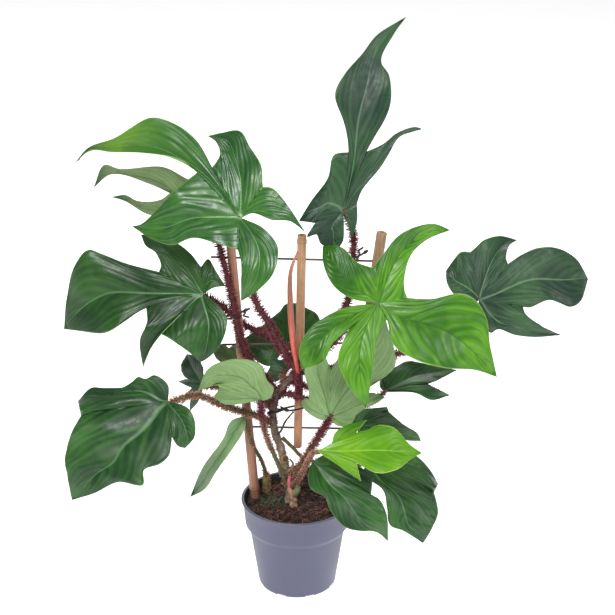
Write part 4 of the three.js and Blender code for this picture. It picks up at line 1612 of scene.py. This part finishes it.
    Leaf(
        "under_right", at=(92, 0, 265), turn=20, face=30, coat=Coat.DARK, red=(1.1, 0.6), stalk=(3.6, 2.8),
        petiole=((-25, 8, 316), (0, 3, 314), (30, 2, 300), (60, 4, 282)),
        lobes=(
            Lobe(right=((358, 434),), tip=(362, 439), left=(), sinus=(371, 433)),
            Lobe(
                right=((385, 432), (405, 440)), tip=(421, 441), left=((403, 424), (417, 433)),
                sinus=(389, 412),
            ),
            Lobe(right=(), tip=(387, 407), left=((352, 418), (358, 411), (376, 408))),
        ),
    ),
    Leaf(
        "back", at=(-18, 90, 354), turn=-5, face=20, coat=Coat.DARK, red=(0.3, 0.6),
        petiole=((-20, 14, 329), (2, 40, 337), (0, 70, 350)),
        lobes=(
            Lobe(right=((305, 348),), tip=(322, 326), left=((317, 314),), sinus=(307, 308)),
            Lobe(right=(), tip=(295, 303), left=((286, 304),), sinus=(280, 311)),
            Lobe(right=((268, 321), (256, 330)), tip=(240, 342), left=((270, 366), (253, 358))),
        ),
    ),
    Leaf(
        "inner", at=(-15, 50, 331), turn=-20, face=20, coat=Coat.MISTY, red=(0.3, 0.6),
        petiole=((-28, 9, 309), (-22, 30, 313)),
        lobes=(
            Lobe(right=((292, 366),), tip=(287, 358), left=(), sinus=(280, 360)),
            Lobe(right=(), tip=(272, 357), left=(), sinus=(270, 367)),
            Lobe(right=(), tip=(264, 378), left=((280, 380), (270, 382))),
        ),
    ),
    Leaf(
        "back_pale", at=(-87, 75, 329), turn=-10, face=10, coat=Coat.MID, red=(0.3, 0.6), under=True,
        lower=SHADED_UNDERSIDE,
        petiole=((-34, 12, 286), (-53, 40, 292), (-72, 60, 304)),
        lobes=(
            Lobe(right=((243, 352),), tip=(236, 343), left=(), sinus=(229, 348)),
            Lobe(right=((222, 344),), tip=(212, 348), left=((228, 366), (216, 358))),
        ),
    ),
)


# Pot and soil


@dataclass
class Pot:
    """The thin nursery pot with its collar, rolled rim and drain notches."""

    outside: Sequence[Pixel] = POT_OUTSIDE
    inside: Sequence[Pixel] = POT_INSIDE
    sides: int = POT_SIDES

    SHARP = 35

    def build(self) -> Piece:
        """Spins the wall and cuts the notches.

        Returns:
            The new object.
        """
        mesh = new_mesh()
        corners = [mesh.verts.new((radius, 0, height)) for radius, height in (*self.outside, *self.inside)]
        edges = [mesh.edges.new(pair) for pair in zip(corners, corners[1:])]
        bmesh.ops.spin(
            mesh, geom=corners + edges, cent=(0, 0, 0), axis=(0, 0, 1), angle=math.tau, steps=self.sides,
            use_merge=True,
        )
        close_up(mesh)
        for face in mesh.faces:
            middle = face.calc_center_median()
            inward = face.normal.dot(Vector((middle.x, middle.y, 0))) < 0
            # Faces that look inwards below the lip get the darker inside finish, a painted shade.
            face.material_index = int(middle.z < POT_LIP and inward)
        pot = finished("nursery_pot", mesh, (POT_PLASTIC, POT_INNER_SHADE), "pot")
        self.notch(pot)
        pot.data.set_sharp_from_angle(angle=math.radians(self.SHARP))
        return pot

    def notch(self, pot: Piece) -> None:
        """Cuts the drain notches round the base.

        Args:
            pot: the pot, whose mesh is changed.
        """
        blocks = new_mesh()
        for number in range(NOTCHES):
            angle = math.radians(NOTCH_ANGLE + number * 360 / NOTCHES)
            turned = Matrix.Rotation(angle, 4, "Z") @ Matrix.Translation((NOTCH_REACH, 0, 0))
            bmesh.ops.create_cube(blocks, size=1, matrix=turned @ Matrix.Diagonal((*NOTCH_SIZE, 1)))
        cutter = finished("notch_blocks", blocks, ())
        cut = pot.modifiers.new("notches", "BOOLEAN")
        cut.object = cutter
        cut.solver = "EXACT"
        cut_pot = pot.evaluated_get(bpy.context.evaluated_depsgraph_get())
        whole = bpy.data.meshes.new_from_object(cut_pot)
        pot.modifiers.clear()
        pot.data = whole
        bpy.data.objects.remove(cutter)


@dataclass
class Soil:
    """The root ball, whose top is covered with crumbs and bark fibres."""

    top: float = SOIL_TOP
    radius: float = SOIL_RADIUS
    crumbs: int = 1500
    fibres: int = 420
    rings: int = 26

    LUMP = 2.2
    LUMP_TURNS = (0.13, 0.11)
    RIDGE = 0.6
    RIDGE_TURNS = (0.31, 0.27)
    GRAIN = 1.4
    GRAIN_TURNS = 0.14
    CLEAR = 3
    CRUMB_SIZES = (0.8, 2.8)
    CRUMB_WIDTHS = (0.6, 1)
    CRUMB_HEIGHTS = (0.5, 0.9)
    BIG_SHARE = 0.12
    BIG = 1.5
    LIFT = 0.2
    FIBRE_LENGTHS = (4, 11)
    FIBRE_TILTS = (-0.1, 0.25)
    FIBRE_WIDTHS = (0.4, 0.9)
    FIBRE_POINT = 0.25
    FIBRE_LIFT = 1.4

    def height(self, across: float, deep: float) -> float:
        """Reads the height of the uneven top.

        Args:
            across: the place along X.
            deep: the place along Y.

        Returns:
            The height over the pot's base.
        """
        place = Vector((across, deep, 0))
        lump = math.sin(self.LUMP_TURNS[0] * across + 1) * math.cos(self.LUMP_TURNS[1] * deep)
        ridge = math.sin(self.RIDGE_TURNS[0] * across - self.RIDGE_TURNS[1] * deep)
        grain = noise.noise(place * self.GRAIN_TURNS)
        return self.top + self.LUMP * (lump + self.RIDGE * ridge) + self.GRAIN * grain

    def build_ball(self) -> Piece:
        """Makes the root ball down to the pot's floor.

        Returns:
            The new object.
        """
        rows = self.rings + len(SOIL_WALL)

        def place(u_value: float, v_value: float) -> Vector:
            """Finds the grid's point, from the middle of the top out and down the wall.

            Args:
                u_value: the share of the way from the middle to the foot.
                v_value: the share of the way round.

            Returns:
                The point.
            """
            row = round(u_value * rows)
            round_it = Matrix.Rotation(v_value * math.tau, 3, "Z")
            if row > self.rings:
                radius, height = SOIL_WALL[row - self.rings - 1]
                return round_it @ Vector((radius, 0, height))
            point = round_it @ Vector((self.radius * row / self.rings, 0, 0))
            return Vector((point.x, point.y, self.height(point.x, point.y)))

        mesh = new_mesh()
        mapped_grid(mesh, rows, SOIL_SIDES, place)
        close_up(mesh)
        return finished("soil_ball", mesh, (SOIL,), "soil")

    def spot(self, draw: random.Random) -> tuple[float, float]:
        """Draws a place on the top.

        Args:
            draw: the seeded random draws.

        Returns:
            The place along X and Y.
        """
        radius = (self.radius - self.CLEAR) * math.sqrt(draw.random())
        angle = draw.uniform(0, math.tau)
        return radius * math.cos(angle), radius * math.sin(angle)

    def build_crumbs(self, draw: random.Random) -> Piece:
        """Scatters crumbs over the top.

        Args:
            draw: the seeded random draws.

        Returns:
            The new object.
        """
        mesh = new_mesh()
        for _ in range(self.crumbs):
            across, deep = self.spot(draw)
            size = draw.uniform(*self.CRUMB_SIZES) * (self.BIG if draw.random() < self.BIG_SHARE else 1)
            widths = size * draw.uniform(*self.CRUMB_WIDTHS), size * draw.uniform(*self.CRUMB_HEIGHTS)
            turn = Quaternion([draw.random() for _ in range(4)]).normalized()
            place = Vector((across, deep, self.height(across, deep) + size * self.LIFT))
            matrix = Matrix.LocRotScale(place, turn, None) @ Matrix.Diagonal((size, *widths, 1))
            bmesh.ops.create_icosphere(mesh, subdivisions=1, radius=1, matrix=matrix)
        return finished("soil_crumbs", mesh, (CRUMBS,))

    def build_fibres(self, draw: random.Random) -> Piece:
        """Scatters bark fibres over the top.

        Args:
            draw: the seeded random draws.

        Returns:
            The new object.
        """
        mesh = new_mesh()
        for _ in range(self.fibres):
            across, deep = self.spot(draw)
            length = draw.uniform(*self.FIBRE_LENGTHS)
            room = self.radius - 1 - math.hypot(across, deep)
            heading = draw.uniform(0, math.tau)
            if room < length / 2:
                heading = math.atan2(deep, across) + math.pi / 2
            lie = Vector((math.cos(heading), math.sin(heading), draw.uniform(*self.FIBRE_TILTS)))
            turn = Vector((0, 0, 1)).rotation_difference(lie)
            place = Vector((across, deep, self.height(across, deep) + self.FIBRE_LIFT))
            bmesh.ops.create_cone(
                mesh, cap_ends=True, cap_tris=True, segments=4, radius1=draw.uniform(*self.FIBRE_WIDTHS),
                radius2=self.FIBRE_POINT, depth=length, matrix=Matrix.LocRotScale(place, turn, None),
            )
        return finished("bark_fibres", mesh, (FIBRES,))


# Rack


def on_rack(point: Pixel) -> Point:
    """Puts a point of the rack, given across and up, on its leaning plane."""
    across, height = point
    return (across, RACK_FOOT + RACK_LEAN * (height - RACK_SOIL), height)


@dataclass(frozen=True)
class Cane:
    """A bamboo cane with its knots and its hollow, sawn ends."""

    name: str
    low: Pixel
    high: Pixel
    radius: float
    taper: float
    knots: tuple[float, ...]
    skin: GrainFinish = BAMBOO

    RIDGE = ((-5, 0), (-3, 0.35), (-1.4, 0.9), (-0.5, 0.35), (0.5, 0.75), (1.8, 0.8), (5, 0))
    SPANS = 14
    KNOT_ROOM = 8
    HOLLOW = 0.45
    HOLLOW_DEPTH = 4
    BEVEL = 0.5
    BEVEL_HEIGHT = 0.6
    END_FACE = 0.7
    END_RADIUS = 4
    SHARP = 40

    def stations(self, length: float) -> list[tuple[float, float]]:
        """Lists where its radius changes, from its lower hollow over its skin to its upper hollow.

        Args:
            length: its length.

        Returns:
            The stations, each a share of the length and a radius.
        """
        def thick(height: float) -> float:
            """The radius at a height along the cane, without its knots."""
            return self.radius * (1 + (self.taper - 1) * height / length)

        knots = [(knot - self.low[1] + step, swell) for knot in self.knots for step, swell in self.RIDGE]
        plain = [length * step / self.SPANS for step in range(1, self.SPANS)]
        clear = [
            (place, 0.0) for place in plain if all(abs(place - knot) > self.KNOT_ROOM for knot, _ in knots)
        ]
        walls = [(place / length, thick(place) + swell) for place, swell in sorted([*knots, *clear])]
        deep, bevel = self.HOLLOW_DEPTH / length, self.BEVEL_HEIGHT / length
        hollow = self.HOLLOW * self.radius
        foot = [(deep, hollow), (0, hollow), (0, self.radius - self.BEVEL), (bevel, thick(0))]
        head = [(1 - bevel, thick(length)), (1, thick(length) - self.BEVEL), (1, hollow), (1 - deep, hollow)]
        return [*foot, *walls, *head]

    def build(self) -> Piece:
        """Makes the cane.

        Returns:
            The new object.
        """
        low, high = Vector(on_rack(self.low)), Vector(on_rack(self.high))
        mesh = new_mesh()
        Limb((low, low.lerp(high, 0.5), high), self.stations((high - low).length), sides=28).build(mesh)
        close_up(mesh)
        direction = (high - low).normalized()
        for face in mesh.faces:
            along = face.calc_center_median() - low
            off_axis = (along - direction * along.dot(direction)).length
            if abs(face.normal.dot(direction)) > self.END_FACE or off_axis < self.END_RADIUS:
                face.material_index = 1
        cane = finished(f"bamboo_{self.name}", mesh, (self.skin, PITH), f"cane_{self.name}")
        cane.data.set_sharp_from_angle(angle=math.radians(self.SHARP))
        return cane


@dataclass(frozen=True)
class Wire:
    """A wire across the rack."""

    name: str
    left: Pixel
    right: Pixel

    def build(self) -> Piece:
        """Makes the wire.

        Returns:
            The new object.
        """
        left, right = Vector(on_rack(self.left)), Vector(on_rack(self.right))
        rod = Limb((left, left.lerp(right, 0.5), right), tapered(30, WIRE_RADIUS, WIRE_RADIUS), sides=10)
        return rod_piece(f"cross_wire_{self.name}", rod, WIRE, f"wire_{self.name}")


@dataclass(frozen=True)
class Tie:
    """A black tie bent round a cane and what it holds."""

    name: str
    points: tuple[Point, ...]
    knot: float

    def thick(self, share: float) -> float:
        """The radius at a share of the length, which swells at the knot."""
        return TIE_RADIUS + KNOT_SWELL * math.exp(-(((share - self.knot) / KNOT_LENGTH) ** 2))

    def build(self) -> Piece:
        """Makes the tie."""
        rod = Limb(self.points, even_stations(140, self.thick), sides=10)
        return rod_piece(f"twist_{self.name}", rod, TIE, f"tie_{self.name}")


CANES = (
    Cane("left", (-62.6, 106), (-97, 560), radius=7.3, taper=0.9, knots=(150, 372), skin=AGED_BAMBOO),
    Cane("middle", (1, 218), (8, 558), radius=6.4, taper=1.04, knots=(548,)),
    Cane("right", (64, 110), (124, 562), radius=7.2, taper=1.08, knots=(300,), skin=GREY_BAMBOO),
)
WIRES = (
    Wire("top", (-125, 524), (142, 517)),
    Wire("middle", (-111, 386), (120, 389)),
    Wire("low", (-94, 252), (92, 248)),
)
TIES = (
    Tie("left", (
        (-68, 18, 449), (-80, 17, 444), (-94, 7, 438), (-105, 15, 434), (-101, 34, 432), (-88, 42, 434),
        (-76, 32, 436), (-78, 19, 437), (-70, 15, 436),
    ), knot=0.06),
    Tie("middle", (
        (-20, -8, 296), (-30, -4, 290), (-43, 3, 284), (-42, 14, 280), (-18, 30, 280), (6, 36, 282),
        (14, 24, 286), (8, 13, 288), (-14, -2, 292), (-24, -6, 300),
    ), knot=0.93),
    Tie("top", (
        (103, 8, 544), (92, 9, 536), (80, 12.6, 530), (74, 20, 524), (78, 34, 514), (88, 38, 518),
        (92, 34, 530), (90, 22, 538), (96, 14, 546),
    ), knot=0.04),
)


# Stem


class Skin(Enum):
    """What covers each limb of the stem."""

    TRUNK = STEM_BARK
    BASE = STEM_BASE
    BULB = BULB
    BUD = BUD
    SCAR_RIM = SCAR_RIM
    SHOOT = SHOOT
    SCAR = SCAR
    CROWN = PETIOLE_SKIN
    SPIKE = SPIKE
    BRISTLE = BRISTLE

    @property
    def number(self) -> int:
        """Its material number in the stem."""
        return list(Skin).index(self)


@dataclass(frozen=True)
class Hairs:
    """How long, wide, leaning and red a stand of bristles is, each a span to draw from."""

    lengths: Span
    widths: Span
    leans: Span
    reds: Span

    def size(self, draw: random.Random) -> Point:
        """Draws the length, width and lean of one bristle."""
        return (draw.uniform(*self.lengths), draw.uniform(*self.widths), draw.uniform(*self.leans))

    def grow(self, mesh: Mesh, rod: Limb, places: Sequence[float], finish: int, draw: random.Random) -> None:
        """Stands bristles on a rod, each at an angle of its own.

        Args:
            mesh: the mesh that they go into.
            rod: the rod.
            places: the shares of its length that they stand at.
            finish: their material number.
            draw: the seeded random draws.
        """
        for share in places:
            angle = draw.uniform(0, math.tau)
            rod.bristle(mesh, share, angle, self.size(draw), finish, draw.uniform(*self.reds))


def spread(first: float, last: float, count: int) -> list[float]:
    """Spaces shares evenly from the first up to the last, without the last."""
    return [first + (last - first) * number / count for number in range(count)]


@dataclass
class Stem:
    """The woody main stem with its cut base and side shoot, the sheath stub, the red sheath and a root."""

    path: Sequence[Point] = (
        (-14, 14, 104), (-12, 10, 135), (-12, 6, 170), (-17, 6, 190), (-21, 6, 209), (-24, 6, 224),
        (-33, 6, 252), (-36, 6, 283), (-28, 6, 319), (-9, 6, 341), (0, 6, 352), (3, 6, 366),
    )
    base: Sequence[Point] = ((-5, -8, 108), (-6, -8, 130), (-7, -8, 150), (-11, -4, 168))
    bulb: Sequence[Point] = ((-7, -8, 150), (-2, -11, 157), (1, -12, 166), (-1, -12, 172))
    bud: Sequence[Point] = ((-10, -5, 164), (-12, -8, 174), (-11, -8, 184))
    scar: Sequence[Point] = ((-22, 6, 209), (-19, -1, 210), (-17.5, -4, 211))
    shoot: Sequence[Point] = ((-14, 2, 180), (-8, -1, 193), (-6, -1, 202), (-11, -2, 210))
    crown: Sequence[Point] = ((-4, 2, 350), (2, -2, 343), (3, 2, 326), (0, 4, 308))
    bristles: int = 420
    stub: Sequence[Point] = ((-47, 40, 108), (-47, 40, 130), (-48, 39, 162))
    sheath: Sequence[Point] = ((2, 1, 352), (-5, -8, 404), (-9, -6, 468), (-8, 0, 515), (2, 6, 543))
    root: Sequence[Point] = ((-31, 3, 247), (-24, -1, 257), (-18, 4, 269), (-5, 10, 284))

    RADII = (6.5, 1.6)
    RING_TURNS = 75
    RING = 0.6
    RING_SCAR = 0.5
    SCAR_PROFILE = ((0, 5.6), (0.6, 5.8), (0.85, 6.2), (0.96, 5.8), (0.99, 4.6), (0.93, 3.4), (0.9, 1.6))
    SCAR_SUNK = 4.2
    SPIKY = (0.22, 0.72)
    BRISTLY = (0.62, 1.0)
    HAIRY = (0.35, 1.0)
    SPIKES = Hairs((1.8, 4.0), (0.4, 0.7), (-0.6, 0.6), (-0.2, 0.5))
    REDS = Hairs((3.4, 5.6), (0.6, 0.9), (-0.5, 0.7), (0.7, 1.0))
    HUSK_HAIRS = Hairs((2, 4), (0.4, 0.7), (0.2, 1.2), (-0.3, 0.1))

    def ringed(self, share: float) -> float:
        """The radius of the trunk with the ring scars that the old leaves left.

        Args:
            share: how far up the trunk.

        Returns:
            The radius there.
        """
        wave = math.sin(share * self.RING_TURNS)
        foot, less = self.RADII
        return foot - less * share + self.RING * wave + self.RING_SCAR * max(0.0, wave) ** 6

    def build_stem(self, draw: random.Random) -> Piece:
        """Makes the main stem with its base, bulb, bud, scar, shoot and spikes as one piece.

        Args:
            draw: the seeded random draws.

        Returns:
            The new object.
        """
        limbs = {
            Skin.TRUNK: Limb(self.path, even_stations(150, self.ringed), sides=20, lumps=0.45),
            Skin.BASE: Limb(self.base, tapered(30, 6.4, 5.2), sides=18, lumps=0.7),
            Skin.BULB: Limb(self.bulb, bulged(20, 2, 3.4, (0.15, 0.95))),
            Skin.BUD: Limb(self.bud, tapered(16, 4.2, 2)),
            Skin.SCAR_RIM: Limb(self.scar, self.SCAR_PROFILE),
            Skin.SHOOT: Limb(self.shoot, tapered(24, 2.4, 1.4), sides=12, lumps=0.2),
        }
        mesh = new_mesh()
        for skin, limb in limbs.items():
            limb.build(mesh, skin.number)
        close_up(mesh)
        sunk = Vector(self.scar[-1])
        for face in mesh.faces:
            near = (face.calc_center_median() - sunk).length < self.SCAR_SUNK
            if near and face.material_index == Skin.SCAR_RIM.number:
                face.material_index = Skin.SCAR.number
        trunk = limbs[Skin.TRUNK]
        crown = Limb(self.crown, tapered(24, 3.4, 2.2), dye=(1.0, 0.9))
        crown.build(mesh, Skin.CROWN.number)
        count = self.bristles
        self.SPIKES.grow(mesh, trunk, spread(*self.SPIKY, count), Skin.SPIKE.number, draw)
        self.REDS.grow(mesh, trunk, spread(*self.BRISTLY, count), Skin.BRISTLE.number, draw)
        self.REDS.grow(mesh, crown, spread(0.0, 1.0, count), Skin.BRISTLE.number, draw)
        return finished("plant_stem", mesh, [skin.value for skin in Skin], "main_stem")

    def build_stub(self, draw: random.Random) -> Piece:
        """Makes the fibrous, hairy stub of an old sheath.

        Args:
            draw: the seeded random draws.

        Returns:
            The new object.
        """
        mesh = new_mesh()
        husk = Limb(self.stub, tapered(30, 6.2, 4.8), sides=20, lumps=0.6)
        husk.build(mesh)
        close_up(mesh)
        for share in spread(*self.HAIRY, self.bristles):
            size = self.HUSK_HAIRS.size(draw)
            angle = draw.uniform(0, math.tau)
            husk.bristle(mesh, share, angle, size, 1, draw.uniform(*self.HUSK_HAIRS.reds))
        return finished("sheath_stub", mesh, (STUB, BRISTLE), "stub_left")

    def build_sheath(self) -> Piece:
        """Makes the red sheath of the next leaf."""
        rod = Limb(self.sheath, bulged(60, 1.2, 3.4, (0.12, 0.98)), sides=20)
        return rod_piece("red_sheath", rod, SHEATH, "new_leaf_sheath")

    def build_root(self) -> Piece:
        """Makes the hooked aerial root."""
        rod = Limb(self.root, tapered(30, 1.8, 1.2), sides=12, lumps=0.25)
        return rod_piece("hooked_root", rod, ROOT, "aerial_root")


# Studio


@dataclass(frozen=True)
class Lamp:
    """A soft light, in metres and watts."""

    name: str
    place: Point
    aim: Point
    size: float
    power: float

    def build(self) -> None:
        """Hangs the light and turns it to its aim."""
        lamp = bpy.data.lights.new(self.name, "AREA")
        lamp.size = self.size
        lamp.energy = self.power
        light = bpy.data.objects.new(self.name, lamp)
        light.location = self.place
        light.rotation_mode = "QUATERNION"
        light.rotation_quaternion = (Vector(self.aim) - Vector(self.place)).to_track_quat("-Z", "Y")
        bpy.context.scene.collection.objects.link(light)


LAMPS = (
    Lamp("key", (-0.9, -2.0, 2.7), (0, 0, 0.4), size=1.1, power=85),
    Lamp("fill", (2.0, -1.0, 1.8), (0, 0, 0.45), size=1.4, power=30),
    Lamp("back", (0.3, 1.7, 2.3), (0, 0, 0.4), size=1.6, power=40),
)


@dataclass
class Studio:
    """The pale floor, the soft light and the camera."""

    lens: float = 100.0
    sensor: float = 36.0
    floor: float = 9000.0
    glow: float = 0.62
    sky: float = 0.3

    def build_floor(self) -> None:
        """Lays the glowing floor under the pot."""
        mesh = new_mesh()
        bmesh.ops.create_grid(mesh, x_segments=1, y_segments=1, size=self.floor, calc_uvs=True)
        shader = material_of(FLOOR).node_tree.nodes["Principled BSDF"]
        shader.inputs["Emission Color"].default_value = (1, 1, 1, 1)
        shader.inputs["Emission Strength"].default_value = self.glow
        placed("floor", mesh, (FLOOR,))

    def build_camera(self) -> None:
        """Puts the camera where the view is taken from."""
        data = bpy.data.cameras.new("camera")
        data.lens = self.lens
        data.sensor_width = self.sensor
        camera = bpy.data.objects.new("camera", data)
        camera.location = Vector(EYE) * MM
        camera.rotation_euler = (math.radians(90 - PITCH), 0, 0)
        bpy.context.scene.collection.objects.link(camera)
        bpy.context.scene.camera = camera

    def build(self) -> None:
        """Sets the whole studio."""
        self.build_camera()
        self.build_floor()
        world = bpy.data.worlds.new("studio")
        world.use_nodes = True
        background = world.node_tree.nodes["Background"]
        background.inputs["Color"].default_value = (1, 1, 1, 1)
        background.inputs["Strength"].default_value = self.sky
        bpy.context.scene.world = world
        bpy.context.scene.view_settings.view_transform = "Standard"
        for lamp in LAMPS:
            lamp.build()


def main() -> None:
    """Builds the pieces in order and reports each through the log."""
    logging.basicConfig(level=logging.INFO, format="%(name)s: %(message)s")
    draw = random.Random(SEED)
    Studio().build()
    soil, stem = Soil(), Stem()
    makers = [
        Pot().build, soil.build_ball, lambda: soil.build_crumbs(draw), lambda: soil.build_fibres(draw),
        lambda: stem.build_stem(draw), lambda: stem.build_stub(draw), stem.build_sheath, stem.build_root,
        *(part.build for part in (*CANES, *WIRES, *TIES)),
    ]
    for make in makers:
        LOG.info("made %s", make().name)
    for leaf in LEAVES:
        LOG.info("made %s", leaf.build_blade().name)
        LOG.info("made %s", leaf.build_petiole(draw).name)


if __name__ == "__main__":
    main()
